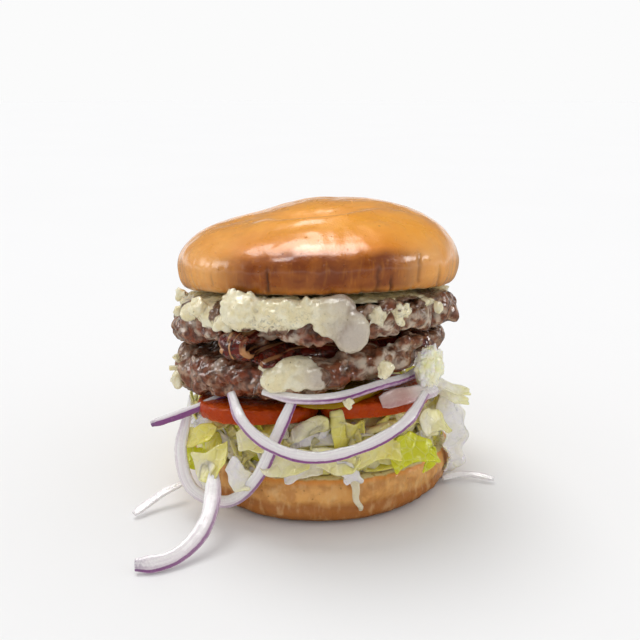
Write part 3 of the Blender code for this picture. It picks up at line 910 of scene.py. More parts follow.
@dataclass(frozen=True)
class HeelCrust:
    """Soft crust of the bottom bun: mottled tan, orange at the cut's edge and brown below."""

    tan: Colour = rgb(236, 174, 98)
    pale: Colour = rgb(244, 208, 150)
    brown: Colour = rgb(156, 94, 38)
    low: Colour = rgb(180, 112, 48)
    blotch: Colour = rgb(182, 112, 50)
    orange: Colour = rgb(246, 160, 72)
    crumb: Colour = rgb(242, 226, 178)
    pore: Colour = rgb(212, 184, 124)
    film: Film = Film(220.0, 0.30, 0.52, 0.0004, 1700.0, 0.00018)

    def make(self) -> Material:
        """Builds the material.

        Returns:
            The material.
        """
        surface = Surface("heel_crust", 0.3, 0.20, 0.08, (0.004, 0.0025, 0.0015), 0.4)
        graph, places = surface.graph, surface.places
        level = graph.shaken(graph.attribute("level"), places, 110.0, 0.26)
        stops = [(0.04, self.brown), (0.26, self.low), (0.42, self.low), (0.54, self.tan), (0.80, self.tan)]
        clouds = surface.mottled(190.0, graph.ramp(level, stops), self.blotch, 0.55)
        streaks = graph.noise(graph.stretched(places, (330.0, 330.0, 130.0)), 1.0, 3.0)
        streaked = graph.mix(graph.range(streaks, 0.48, 0.74, 0.0, 0.40), clouds, self.pale)
        specks = graph.times(surface.pitted(260.0, 0.15), 0.6)
        specked = graph.mix(specks, streaked, self.brown)
        rimmed = graph.mix(graph.attribute("rim"), specked, self.orange)
        pores = surface.pitted(420.0, 0.36)
        crumb = graph.mix(pores, self.crumb, self.pore)
        colour = graph.mix(graph.attribute("cut"), rimmed, crumb)
        return surface.finish(colour, self.film, graph.bump(streaks, 0.0005))


@dataclass(frozen=True)
class MinceGlaze:
    """Coarse cooked mince under a glossy film of juice and melted fat."""

    grey: Colour = rgb(182, 146, 116)
    warm: Colour = rgb(138, 82, 54)
    fleck: Colour = rgb(76, 44, 29)
    # colour of the painted shade in the hollows between the lumps
    dark: Colour = rgb(26, 11, 7)
    sear: Colour = rgb(132, 54, 26)
    char: Colour = rgb(66, 26, 14)
    fat: Colour = rgb(216, 186, 154)
    milk: Colour = rgb(226, 212, 192)
    film: Film = Film(360.0, 0.07, 0.20, 0.0004, 1300.0, 0.00005)

    def make(self) -> Material:
        """Builds the material.

        Returns:
            The material.
        """
        surface = Surface("mince_glaze", 0.3, 0.06, 0.08, (0.003, 0.0015, 0.001), 1.0)
        graph, places = surface.graph, surface.places
        meat = surface.mottled(230.0, self.warm, self.grey, 1.0)
        grain = surface.mottled(420.0, meat, self.fleck, 0.75)
        fatty = graph.mix(graph.times(surface.pitted(330.0, 0.20), 0.55), grain, self.fat)
        seared = graph.mix(graph.attribute("sear"), fatty, surface.mottled(420.0, self.sear, self.char, 0.9))
        clouds = graph.range(graph.noise(places, 230.0, 4.0, 0.5), 0.44, 0.66)
        film_share = graph.times(clouds, graph.attribute("milk"))
        milky = graph.mix(film_share, seared, self.milk)
        # painted shade: the hollows darkened almost to black
        depth = graph.range(graph.attribute("hollow"), 0.50, 0.85, 0.0, 0.92)
        return surface.finish(graph.mix(depth, milky, self.dark), self.film)


@dataclass(frozen=True)
class BlueCheese:
    """Melted blue cheese: cream lumps, grey-blue marks, thin grey-white drips and a film on the meat."""

    cream: Colour = rgb(246, 238, 208)
    butter: Colour = rgb(234, 220, 174)
    drip: Colour = rgb(200, 188, 174)
    shadow: Colour = rgb(172, 156, 142)
    mould: Colour = rgb(112, 110, 108)
    meat: Colour = rgb(134, 104, 84)
    # colour of the painted shade in the cheese's hollows
    hollow: Colour = rgb(158, 136, 104)
    dot: Colour = rgb(132, 120, 92)
    juice: Colour = rgb(82, 54, 42)
    film: Film = Film(420.0, 0.12, 0.30, 0.0003, 1300.0, 0.00010)

    def make(self) -> Material:
        """Builds the material.

        Returns:
            The material.
        """
        surface = Surface("blue_cheese_melt", 0.3, 0.10, 0.25, (0.003, 0.0026, 0.002), 0.6)
        graph, places = surface.graph, surface.places
        body = surface.mottled(260.0, self.cream, self.butter, 0.8)
        streaks = graph.noise(graph.stretched(places, (190.0, 190.0, 90.0)), 1.0, 2.0, 0.5)
        runny = graph.mix(graph.range(streaks, 0.44, 0.64), self.drip, self.shadow)
        dripping = graph.mix(graph.attribute("drip"), body, runny)
        dotted_parts = graph.range(graph.noise(places, 200.0), 0.48, 0.6)
        dots = graph.times(surface.pitted(460.0, 0.20), dotted_parts)
        spotted = graph.mix(graph.times(dots, 0.6), dripping, self.dot)
        veins = graph.range(graph.noise(places, 800.0, 4.0, 1.2), 0.48, 0.72)
        marked = graph.times(veins, graph.attribute("mould"))
        moulded = graph.mix(marked, spotted, self.mould)
        thin = graph.shaken(graph.attribute("thin"), places, 420.0, 0.9)
        skin = surface.mottled(500.0, self.meat, self.juice, 0.8)
        # painted shade: the hollows darkened towards brown-grey
        shaded = graph.mix(graph.range(graph.attribute("hollow"), 0.52, 0.90, 0.0, 0.7), moulded, self.hollow)
        colour = graph.mix(graph.range(thin, 0.44, 0.66), shaded, skin)
        return surface.finish(colour, self.film)


@dataclass(frozen=True)
class BaconGlaze:
    """Glossy fried rasher: dark red lean, with tan streaks of fat along it."""

    lean: Colour = rgb(112, 30, 16)
    dark: Colour = rgb(44, 14, 9)
    fat: Colour = rgb(206, 150, 98)
    film: Film = Film(480.0, 0.07, 0.22, 0.0003, 1500.0, 0.00008)

    def make(self) -> Material:
        """Builds the material.

        Returns:
            The material.
        """
        surface = Surface("bacon_glaze", 0.4, 0.05, 0.08, (0.004, 0.001, 0.0006), 1.0)
        graph = surface.graph
        meat = surface.mottled(300.0, self.lean, self.dark, 0.9)
        inputs = {"X": graph.attribute("band"), "Y": graph.attribute("along")}
        strip = graph.add("ShaderNodeCombineXYZ", inputs).outputs[0]
        streaks = graph.noise(graph.stretched(strip, (2.4, 0.30, 1.0)), 1.0, 1.5)
        fat_share = graph.times(graph.range(streaks, 0.50, 0.60), graph.attribute("fat"))
        return surface.finish(graph.mix(fat_share, meat, self.fat), self.film)


@dataclass(frozen=True)
class WetSlice:
    """Wet vegetable slice: flesh with a darker skin round its rim."""

    name: str
    flesh: Colour
    shade: Colour
    skin: Colour
    glow: Point
    dot: Colour = rgb(226, 150, 80)
    film: Film = Film(300.0, 0.14, 0.34, 0.0003, 1500.0, 0.0002)

    def make(self) -> Material:
        """Builds the material.

        Returns:
            The material.
        """
        surface = Surface(self.name, 0.3, 0.08, 0.12, self.glow, 0.2)
        body = surface.mottled(360.0, self.flesh, self.shade, 0.8)
        seeds = surface.pitted(420.0, 0.14)
        dotted = surface.graph.mix(surface.graph.times(seeds, 0.35), body, self.dot)
        colour = surface.graph.mix(surface.graph.attribute("rim"), dotted, self.skin)
        return surface.finish(colour, self.film)


@dataclass(frozen=True)
class OnionFlesh:
    """Wet white onion, with a purple line under its outer skin and what lies under it where it is thin."""

    white: Colour = rgb(250, 246, 245)
    veil: Colour = rgb(232, 222, 227)
    purple: Colour = rgb(142, 84, 138)
    pink: Colour = rgb(216, 190, 210)
    dried: Colour = rgb(128, 112, 138)
    thin: Colour = rgb(176, 112, 90)
    film: Film = Film(420.0, 0.12, 0.30, 0.0002, 1300.0, 0.00016)

    def make(self) -> Material:
        """Builds the material.

        Returns:
            The material.
        """
        surface = Surface("onion_flesh", 0.35, 0.08, 0.45, (0.003, 0.0026, 0.0028), 0.6)
        graph = surface.graph
        skin, stain = graph.attribute("skin"), graph.attribute("stain")
        strip = graph.add("ShaderNodeCombineXYZ", {"X": skin, "Y": graph.attribute("along")}).outputs[0]
        lines = graph.noise(graph.stretched(strip, (7.0, 1.2, 1.0)), 1.0, 1.0)
        body = graph.mix(graph.range(lines, 0.36, 0.66, 0.0, 0.6), self.white, self.veil)
        near = graph.shaken(skin, surface.places, 420.0, 0.10)
        line = graph.times(graph.range(near, 0.76, 0.83), stain)
        outer = graph.mix(graph.range(near, 0.955, 0.99), self.purple, self.pink)
        stained = graph.mix(line, body, outer)
        blush = graph.times(graph.range(near, 0.45, 0.80, 0.0, 0.22), stain)
        blushed = graph.mix(blush, stained, self.purple)
        spots = graph.range(graph.noise(surface.places, 1400.0), 0.30, 0.70, 0.25, 0.8)
        withered = graph.times(graph.attribute("dried"), spots)
        faded = graph.mix(withered, blushed, self.dried)
        return surface.finish(graph.mix(graph.attribute("thin"), faded, self.thin), self.film)


@dataclass(frozen=True)
class LeafFlesh:
    """Crisp iceberg leaf: white ribs, pale yellow-green blades and a few bright green tips."""

    rib: Colour = rgb(255, 252, 240)
    pale: Colour = rgb(252, 243, 176)
    blade: Colour = rgb(242, 229, 104)
    green: Colour = rgb(212, 216, 44)
    shade: Colour = rgb(172, 144, 38)
    film: Film = Film(240.0, 0.20, 0.42, 0.0003, 900.0, 0.0002)

    def make(self) -> Material:
        """Builds the material.

        Returns:
            The material.
        """
        surface = Surface("leaf_flesh", 0.3, 0.12, 0.55, (0.003, 0.0034, 0.0016), 0.4)
        graph, places = surface.graph, surface.places
        tint = graph.shaken(graph.attribute("tint"), places, 170.0, 0.24)
        stops = [(0.06, self.rib), (0.34, self.pale), (0.66, self.blade), (0.95, self.green)]
        veins = graph.cells(places, 260.0, "DISTANCE_TO_EDGE")
        veined = graph.mix(graph.range(veins, 0.0, 0.10, 0.12, 0.0), graph.ramp(tint, stops), self.rib)
        # painted shade: the hollows between the shreds darkened towards olive
        depth = graph.range(graph.attribute("hollow"), 0.55, 1.0, 0.0, 0.75)
        colour = graph.mix(depth, veined, self.shade)
        return surface.finish(colour, self.film, graph.bump(graph.range(veins, 0.0, 0.2), 0.0002))


# Sub-assemblies


@dataclass(frozen=True)
class Crease:
    """A short upright crease: where it is from left to right, its ends and its depth."""

    across: float
    low: float
    high: float
    depth: float
    width: float = 0.00055

    def at(self, place: Vector) -> float:
        """Depth of the crease at a point.

        Args:
            place: The point.

        Returns:
            The depth in metres.
        """
        wander = 0.0007 * noise.noise(Vector((self.across * 900, place.z / 0.0030, 0.0)))
        off = (place.x - self.across - wander) / self.width
        if abs(off) > 3:
            return 0.0
        foot = eased(place.z, self.low - 0.001, self.low + 0.001)
        ends = foot * (1 - eased(place.z, self.high - 0.005, self.high))
        return self.depth * math.exp(-off * off) * ends


@dataclass
class Crown:
    """The top bun."""

    material: Material
    voxel: float = 0.00062
    cut: Point = (0.0786, 0.020, 0.165)
    height: float = 0.0300
    dent: Point = (-0.0010, -0.0190, 0.1056)
    dent_size: tuple[float, float] = (0.0165, 0.0105)
    creases: tuple[Crease, ...] = (
        Crease(-0.0176, 0.0875, 0.0985, 0.00085),
        Crease(0.0196, 0.0875, 0.0995, 0.00050, 0.0008),
        Crease(0.0243, 0.0865, 0.0950, 0.00080),
        Crease(0.0345, 0.0885, 0.1020, 0.00040, 0.0007),
        Crease(-0.0380, 0.0875, 0.0940, 0.00030),
        Crease(0.0140, 0.0865, 0.0930, 0.00030),
        Crease(0.0430, 0.0845, 0.0950, 0.00040),
        Crease(-0.0280, 0.0875, 0.0915, 0.00025),
    )

    def above_cut(self, place: Vector) -> float:
        """Height over the cut face."""
        return place.z - plane(self.cut, place)

    def creased(self, place: Vector, normal: Vector) -> float:
        """Depth of the creases in front."""
        return max(crease.at(place) for crease in self.creases) if normal.y < 0.1 else 0.0

    def dented(self, place: Vector) -> float:
        """Fall into the dent in the top, and the lip round its front.

        Args:
            place: Where to read it.

        Returns:
            The rise in metres.
        """
        across = (place.x - self.dent[0]) / self.dent_size[0]
        deep = (place.y - self.dent[1]) / self.dent_size[1]
        reach = math.hypot(across, deep)
        lip = 0.0012 * math.exp(-(((reach - 1.15) / 0.30) ** 2)) * (1 - eased(deep, -0.6, 0.4))
        return lip - 0.0010 * (1 - eased(reach, 0.2, 1.0))

    def relief(self, place: Vector, normal: Vector) -> float:
        """Soft swells, wrinkles near the lower edge, the dent and the creases.

        Args:
            place: Where to read it.
            normal: Normal there.

        Returns:
            The push in metres.
        """
        above = self.above_cut(place)
        low = 1 - eased(above, 0.004, 0.014)
        around = math.atan2(place.y, place.x)
        wrinkle = noise.noise(Vector((around * 24.0, place.z / 0.012, 1.0)))
        swell = lumpy((0.00042, 0.013), (0.00014, 0.0045))(place, normal)
        top = self.dented(place) if normal.z > 0.2 and above > 0.010 else 0.0
        return swell + 0.00035 * low * wrinkle + top - self.creased(place, normal)

    def is_cut(self, place: Vector, normal: Vector) -> float:
        """1 on the flat cut face."""
        return eased(-normal.z, 0.86, 0.97) * (1 - eased(self.above_cut(place), 0.0008, 0.0020))

    def faces_front(self, place: Vector, normal: Vector) -> float:
        """1 on the part that looks to the front, where the crust is painted darker as shade."""
        return 1 - eased(abs(math.atan2(place.x, -place.y)), 0.42, 0.88)

    def build(self) -> list[Object]:
        """Builds the bun.

        Returns:
            The piece.
        """
        bm = skinned(node_mesh("crown_bun"), self.voxel, 20)
        # stores the creases' depth, which the crust turns into painted shade
        paint(bm, "crease", lambda place, normal: min(1.0, self.creased(place, normal) / 0.0009))
        press(bm, self.relief)
        paint(bm, "level", lambda place, normal: max(0.0, self.above_cut(place) / self.height))
        # stores where the crust gets the front's painted shade
        paint(bm, "front", self.faces_front)
        paint(bm, "cut", self.is_cut)
        return [add_piece("crown_dressed", bm, self.material, ["crown_bun"])]


@dataclass
class Heel:
    """The bottom bun, with a run of sauce down its front."""

    material: Material
    sauce: Material
    voxel: float = 0.00075
    sauce_voxel: float = 0.00028
    cut: Point = (0.0133, 0.0, 0.110)
    drop: Point = (0.0138, -0.0542, 0.0186)
    run: tuple[Point, ...] = (
        (0.0122, -0.0548, 0.0188),
        (0.0128, -0.0564, 0.0150),
        (0.0138, -0.0562, 0.0110),
        (0.0146, -0.0542, 0.0078),
    )

    def share_up(self, place: Vector) -> float:
        """Height as a share of the cut's height there."""
        return place.z / max(plane(self.cut, place), 0.004)

    def relief(self, place: Vector, normal: Vector) -> float:
        """Upright wrinkles and level folds on the side.

        Args:
            place: Where to read it.
            normal: Normal there.

        Returns:
            The push in metres.
        """
        side = eased(1 - abs(normal.z), 0.1, 0.5)
        around = math.atan2(place.y, place.x)
        wrinkle = noise.noise(Vector((around * 30.0, place.z / 0.011, 3.0)))
        fold = noise.noise(Vector((around * 8.0, place.z / 0.0032, 7.0)))
        waist = (self.share_up(place) - 0.46 - 0.12 * noise.noise(Vector((around * 3.0, 0.0, 5.0)))) / 0.10
        fold -= 1.6 * math.exp(-waist * waist)
        even = lumpy((0.00030, 0.010), (0.00012, 0.0017))(place, normal)
        return side * (0.00042 * wrinkle + 0.00040 * fold) + even

    def is_cut(self, place: Vector, normal: Vector) -> float:
        """1 on the cut face."""
        return eased(normal.z, 0.72, 0.92) * eased(self.share_up(place), 0.86, 0.95)

    def is_rim(self, place: Vector, normal: Vector) -> float:
        """1 on the thin browned line round the cut face.

        Args:
            place: Where to read it.
            normal: Normal there.

        Returns:
            The share.
        """
        near = eased(self.share_up(place), 0.84, 0.94)
        outside = eased(math.hypot(place.x, place.y), 0.045, 0.050)
        return 0.8 * near * (1 - self.is_cut(place, normal)) * outside

    def build(self) -> list[Object]:
        """Builds the bun and the sauce.

        Returns:
            The two pieces.
        """
        bm = skinned(node_mesh("heel_bun"), self.voxel, 5)
        press(bm, self.relief)
        paint(bm, "level", lambda place, normal: self.share_up(place))
        paint(bm, "cut", self.is_cut)
        paint(bm, "rim", self.is_rim)
        heel = add_piece("heel_dressed", bm, self.material, ["heel_bun"])
        return [heel, self.build_sauce()]

    def build_sauce(self) -> Object:
        """The thin run of sauce on the heel's front, with a drop beside its top.

        Returns:
            The piece.
        """
        bm = bmesh.new()
        route = smooth_route(self.run, 16)
        for i, place in enumerate(route):
            share = i / (len(route) - 1)
            width = 0.0013 * (1 - share) ** 0.6 + 0.0005 + 0.0005 * eased(share, 0.75, 1.0)
            sway = Vector((0.0004 * math.sin(share * 9), 0.0, 0.0))
            add_lump(bm, place + sway, (width, 0.0008, 0.0012))
        add_lump(bm, Vector(self.drop), (0.0022, 0.0009, 0.0008))
        skin = skinned(bm, self.sauce_voxel, 4)
        for name, value in (("drip", 0.3), ("mould", 0.0), ("thin", 0.0)):
            paint(skin, name, lumpy(level=value))
        return add_piece("heel_sauce", skin, self.sauce)


@dataclass
class Patties:
    """The two patties of coarse mince."""

    material: Material
    voxel: float = 0.00062
    strands: int = 1000
    batch: int = 40
    seed: int = 7
    sunk: float = 0.0016
    stringy: Spot = Spot((-0.0360, -0.0440, 0.0580), 0.0200)
    sizes: tuple[tuple[float, float], ...] = (
        (0.0026, 0.0040), (0.0016, 0.0026), (0.0016, 0.0026), (0.0009, 0.0015), (0.0009, 0.0015),
    )
    sears: tuple[Spot, ...] = (
        Spot((-0.0034, -0.0560, 0.0745), 0.0075, 1.1),
        Spot((0.0020, -0.0550, 0.0790), 0.0040, 0.6),
        Spot((0.0441, -0.0250, 0.0756), 0.0034, 0.9),
        Spot((-0.0310, -0.0500, 0.0605), 0.0130, 0.85),
        Spot((-0.0450, -0.0330, 0.0640), 0.0110, 0.70),
        Spot((-0.0120, -0.0500, 0.0640), 0.0080, 0.6),
        Spot((0.0120, -0.0520, 0.0560), 0.0080, 0.6),
        Spot((-0.0480, -0.0350, 0.0520), 0.0080, 0.5),
    )
    milks: tuple[Spot, ...] = (
        Spot((-0.0448, -0.0300, 0.0603), 0.0090, 0.5),
        Spot((0.0174, -0.0500, 0.0629), 0.0090, 1.0),
        Spot((0.0282, -0.0450, 0.0656), 0.0120, 1.1),
        Spot((0.0376, -0.0320, 0.0753), 0.0090, 1.0),
        Spot((0.0230, -0.0500, 0.0760), 0.0100, 1.1),
        Spot((-0.0386, -0.0400, 0.0745), 0.0130, 1.1),
        Spot((-0.0499, -0.0200, 0.0658), 0.0090, 0.7),
        Spot((-0.0150, -0.0530, 0.0720), 0.0090, 1.0),
        Spot((0.0040, -0.0530, 0.0560), 0.0080, 0.8),
    )

    def build(self) -> list[Object]:
        """Builds both patties."""
        nodes = ("beef_patty_lower", "beef_patty_upper")
        return [self.build_patty(node, self.seed + i) for i, node in enumerate(nodes)]

    def build_patty(self, node: str, seed: int) -> Object:
        """One patty: its CAD body with lumps and strands of mince pressed into its side.

        Args:
            node: Name of the CAD node.
            seed: Seed of the random draws.

        Returns:
            The piece.
        """
        rng = random.Random(seed)
        bm = node_mesh(node)
        press(bm, lambda place, normal: -self.sunk)
        places = scatter_places(bm, rng, self.strands, self.is_side)
        for start in range(0, len(places), self.batch):
            some = bmesh.new()
            for place, normal in places[start : start + self.batch]:
                self.add_strand(some, rng, place, normal)
            append(bm, some)
        skin = skinned(bm, self.voxel, 1)
        press(skin, lumpy((0.0013, 0.0070), (0.00045, 0.0034), (0.00016, 0.0014)))
        mark_hollows(skin, 14, 0.0016)
        sear, milk = patches(self.sears), patches(self.milks)
        paint(skin, "sear", lambda place, normal: min(1.0, sear(place, normal)))
        paint(skin, "milk", lambda place, normal: min(1.0, 0.08 + 0.85 * milk(place, normal)))
        return add_piece(node.replace("beef", "dressed"), skin, self.material, [node])

    def add_strand(self, bm: BMesh, rng: random.Random, place: Vector, normal: Vector) -> None:
        """Presses one lump or strand of mince into the side.

        Args:
            bm: The patty.
            rng: Source of the random draws.
            place: Where it goes.
            normal: Direction away from the patty there.
        """
        if rng.random() < self.stringy.at(place):
            thick, stretch, turn = rng.uniform(0.0009, 0.0014), rng.uniform(3.0, 5.5), rng.gauss(0.45, 0.22)
            place = place + normal * thick * 0.4
        else:
            thick = rng.uniform(*rng.choice(self.sizes))
            stretch, turn = rng.uniform(1.1, 2.0), rng.uniform(0, math.tau)
        centre = place - normal * (thick * rng.uniform(0.25, 0.80) - 0.0004)
        add_lump(bm, centre, (thick * stretch, thick, thick * 0.85), axes_on(normal, turn))

    def is_side(self, place: Vector, normal: Vector) -> bool:
        """Whether a place is on the side, where the mince shows."""
        return math.hypot(place.x, place.y) > 0.040


@dataclass
class Cheese:
    """Melted cheese on the patties, with its crumbs."""

    material: Material
    voxel: float = 0.00057
    crumb_voxel: float = 0.00028
    bit_voxel: float = 0.00024
    sunk: float = 0.0007
    ridge: float = 0.0855
    dollops: int = 70
    seed: int = 3
    drips: tuple[Spot, ...] = (
        Spot((0.0070, -0.0530, 0.0850), 0.0065, 1.1),
        Spot((0.0120, -0.0540, 0.0830), 0.0065, 1.1),
        Spot((0.0108, -0.0570, 0.0750), 0.0090, 1.2),
        Spot((-0.0130, -0.0540, 0.0710), 0.0045, 0.8),
        Spot((0.0000, -0.0560, 0.0590), 0.0070, 1.0),
    )
    moulds: tuple[Spot, ...] = (
        Spot((-0.0163, -0.0520, 0.0765), 0.0060, 1.0),
        Spot((-0.0060, -0.0530, 0.0790), 0.0050, 0.6),
        Spot((0.0267, -0.0460, 0.0790), 0.0060, 0.7),
    )
    films: tuple[Spot, ...] = (
        Spot((-0.0380, -0.0400, 0.0800), 0.0080, 1.0),
        Spot((-0.0500, -0.0280, 0.0800), 0.0100, 1.0),
        Spot((0.0240, -0.0500, 0.0830), 0.0090, 1.0),
        Spot((0.0340, -0.0430, 0.0830), 0.0100, 1.1),
        Spot((0.0450, -0.0280, 0.0800), 0.0120, 1.1),
        Spot((0.0040, -0.0560, 0.0555), 0.0045, 0.8),
        Spot((-0.0140, -0.0540, 0.0715), 0.0065, 1.0),
        Spot((-0.0240, -0.0540, 0.0740), 0.0040, 0.8),
        Spot((0.0045, -0.0550, 0.0595), 0.0055, 1.0),
    )
    filler: tuple = (((-0.0079, -0.0532, 0.0562), (0.0032, 0.0016, 0.0034)),)
    lumps: tuple[tuple[Point, Point], ...] = (
        ((-0.0290, -0.0500, 0.0796), (0.0048, 0.0030, 0.0028)),
        ((-0.0080, -0.0540, 0.0830), (0.0050, 0.0026, 0.0026)),
        ((-0.0030, -0.0545, 0.0815), (0.0046, 0.0024, 0.0030)),
    )
    curds: tuple[tuple[Point, float], ...] = (
        ((0.0190, -0.0495, 0.0800), 0.0024),
        ((0.0265, -0.0465, 0.0785), 0.0028),
        ((0.0300, -0.0445, 0.0800), 0.0022),
        ((0.0420, -0.0365, 0.0790), 0.0022),
        ((-0.0430, -0.0370, 0.0785), 0.0034),
        ((-0.0470, -0.0300, 0.0745), 0.0030),
        ((-0.0545, -0.0190, 0.0720), 0.0024),
        ((-0.0520, -0.0250, 0.0800), 0.0022),
    )
    bits: tuple = (((0.0102, -0.0560, 0.0500), 0.0018), ((-0.0560, -0.0160, 0.0520), 0.0016))
    chip: tuple = ((-0.0575, -0.0180, 0.0487), (0.0018, 0.0008, 0.0009))

    def build(self) -> list[Object]:
        """Builds the melts and crumbs.

        Returns:
            The pieces.
        """
        pieces = [self.build_melt("blue_cheese_upper", 460, 0.0012, self.lumps, rich=True)]
        pieces.append(self.build_melt("blue_cheese_lower", 60, 0.0009, self.filler))
        pieces.append(self.build_melt("blue_cheese_lower_back", 60, 0.0009))
        for side in ("left", "right"):
            pieces.append(self.build_melt(f"blue_cheese_crumb_{side}", 26, 0.0011, voxel=self.crumb_voxel))
        pieces.append(self.build_bits())
        return pieces

    def build_melt(
        self,
        node: str,
        grains: int,
        size: float,
        lumps: Sequence = (),
        rich: bool = False,
        voxel: float = 0.0,
    ) -> Object:
        """One melt: its CAD body with softer lumps, curds and crumbs sunk into it.

        Args:
            node: Name of the CAD node.
            grains: How many small crumbs stand out of it.
            size: Size of the crumbs.
            lumps: Centres and radii of larger lumps.
            rich: Whether it has dollops and curds.
            voxel: Size of the skin's cells, or 0 for the usual.

        Returns:
            The piece.
        """
        rng = random.Random(node)
        bm = node_mesh(node)
        if rich:
            self.lower_ridge(bm)
        places = scatter_places(bm, rng, grains, self.shows)
        for centre, radii in lumps:
            add_lump(bm, Vector(centre), radii, detail=3)
        if rich:
            press(bm, lambda place, normal: -self.sunk * self.is_front(place))
            for place, normal in scatter_places(bm, rng, self.dollops, self.is_thick):
                radius = rng.uniform(0.0011, 0.0028)
                turn = axes_on(normal, rng.uniform(0, math.tau))
                add_lump(bm, place - normal * radius * 0.25, (radius * 1.4, radius, radius * 0.8), turn)
            for centre, radius in self.curds:
                self.add_curd(bm, rng, Vector(centre), radius)
        drip = patches(self.drips)
        for place, normal in places:
            if drip(place, normal) < 0.35:
                self.add_crumb(bm, rng, place, normal, size * rng.uniform(0.4, 1.0))
        skin = skinned(bm, voxel or self.voxel, 1 if voxel else 2)
        press(skin, self.crumbly(drip))
        mark_hollows(skin)
        self.paint_melt(skin)
        name = node.replace("blue_cheese", "dressed_cheese")
        return add_piece(name, skin, self.material, [node])

    def paint_melt(self, skin: BMesh) -> None:
        """Marks the drips, the mould and where the cheese is only a film.

        Args:
            skin: The mesh.
        """
        drip, mould, film = patches(self.drips), patches(self.moulds), patches(self.films)
        curd = patches(Spot(centre, radius * 1.35) for centre, radius in self.curds)
        paint(skin, "drip", lambda place, normal: min(1.0, drip(place, normal)))
        paint(skin, "mould", lambda place, normal: 0.10 + 0.9 * mould(place, normal))
        paint(skin, "thin", lambda place, normal: film(place, normal) - 1.3 * curd(place, normal))

    def add_crumb(self, bm: BMesh, rng: random.Random, place: Vector, normal: Vector, radius: float) -> None:
        """Sinks one square-cut crumb into a melt.

        Args:
            bm: The melt.
            rng: Source of the random draws.
            place: Where it goes.
            normal: Direction away from the melt there.
            radius: Its size.
        """
        turn = axes_on(normal, rng.uniform(0, math.tau)) @ Matrix.Rotation(rng.uniform(-0.6, 0.6), 3, "X")
        sides = (radius * rng.uniform(0.8, 1.3), radius * rng.uniform(0.6, 1.0), radius * 0.7)
        add_chip(bm, place - normal * radius * 0.35, sides, turn)

    def add_curd(self, bm: BMesh, rng: random.Random, centre: Vector, radius: float) -> None:
        """A cluster of crumbs.

        Args:
            bm: Mesh to add it to.
            rng: Source of the random draws.
            centre: Its middle.
            radius: How far it reaches.
        """
        for _ in range(9):
            off = Vector([rng.gauss(0, 0.36) for _ in range(3)]) * radius
            sides = [radius * rng.uniform(0.25, 0.55) for _ in range(3)]
            turn = axes_on(Vector((rng.uniform(-1, 1), rng.uniform(-1, 1), 1)), rng.uniform(0, math.tau))
            add_chip(bm, centre + off, sides, turn)

    def is_front(self, place: Vector) -> bool:
        """Whether a place is on the cream part in front."""
        return place.y < -0.040 and -0.0350 < place.x < 0.0030

    def is_thick(self, place: Vector, normal: Vector) -> bool:
        """Whether a place is where the cream in front is thick."""
        return self.is_front(place) and place.z < 0.0815

    def lower_ridge(self, bm: BMesh) -> None:
        """Lowers the top of the cream in front, so that it stays under the bun's edge.

        Args:
            bm: The melt, which is changed.
        """
        for vert in bm.verts:
            across = eased(vert.co.x, -0.040, -0.034) * (1 - eased(vert.co.x, 0.001, 0.007))
            inside = across * eased(-vert.co.y, 0.036, 0.044)
            vert.co.z -= 0.4 * inside * max(0.0, vert.co.z - self.ridge)

    def shows(self, place: Vector, normal: Vector) -> bool:
        """Whether a place is near the edge of the burger, where the cheese shows."""
        return math.hypot(place.x, place.y) > 0.046

    def crumbly(self, drip: Field) -> Field:
        """Relief that is rough on cream lumps and nearly smooth on the drips.

        Args:
            drip: Where the cheese has run.

        Returns:
            The push for a place and its normal.
        """
        rough = lumpy((0.00024, 0.0016), (0.00035, 0.0045))
        return lambda place, normal: (1 - 0.8 * min(1.0, drip(place, normal))) * rough(place, normal)

    def build_bits(self) -> Object:
        """Loose crumbs too small for the CAD, on the onion and at the left of the lower patty.

        Returns:
            The piece.
        """
        rng = random.Random(self.seed)
        bm = bmesh.new()
        for centre, radius in self.bits:
            self.add_curd(bm, rng, Vector(centre), radius)
        centre, sides = self.chip
        add_chip(bm, Vector(centre), sides, axes_on(UP, 0.2))
        skin = skinned(bm, self.bit_voxel, 1)
        self.paint_melt(skin)
        return add_piece("cheese_bits", skin, self.material)


@dataclass(frozen=True)
class Rasher:
    """A rasher's line, which way its face looks, and its sizes."""

    points: tuple
    fold_centre: Point | None
    face: Point
    half_width: float
    half_thick: float
    fat: float


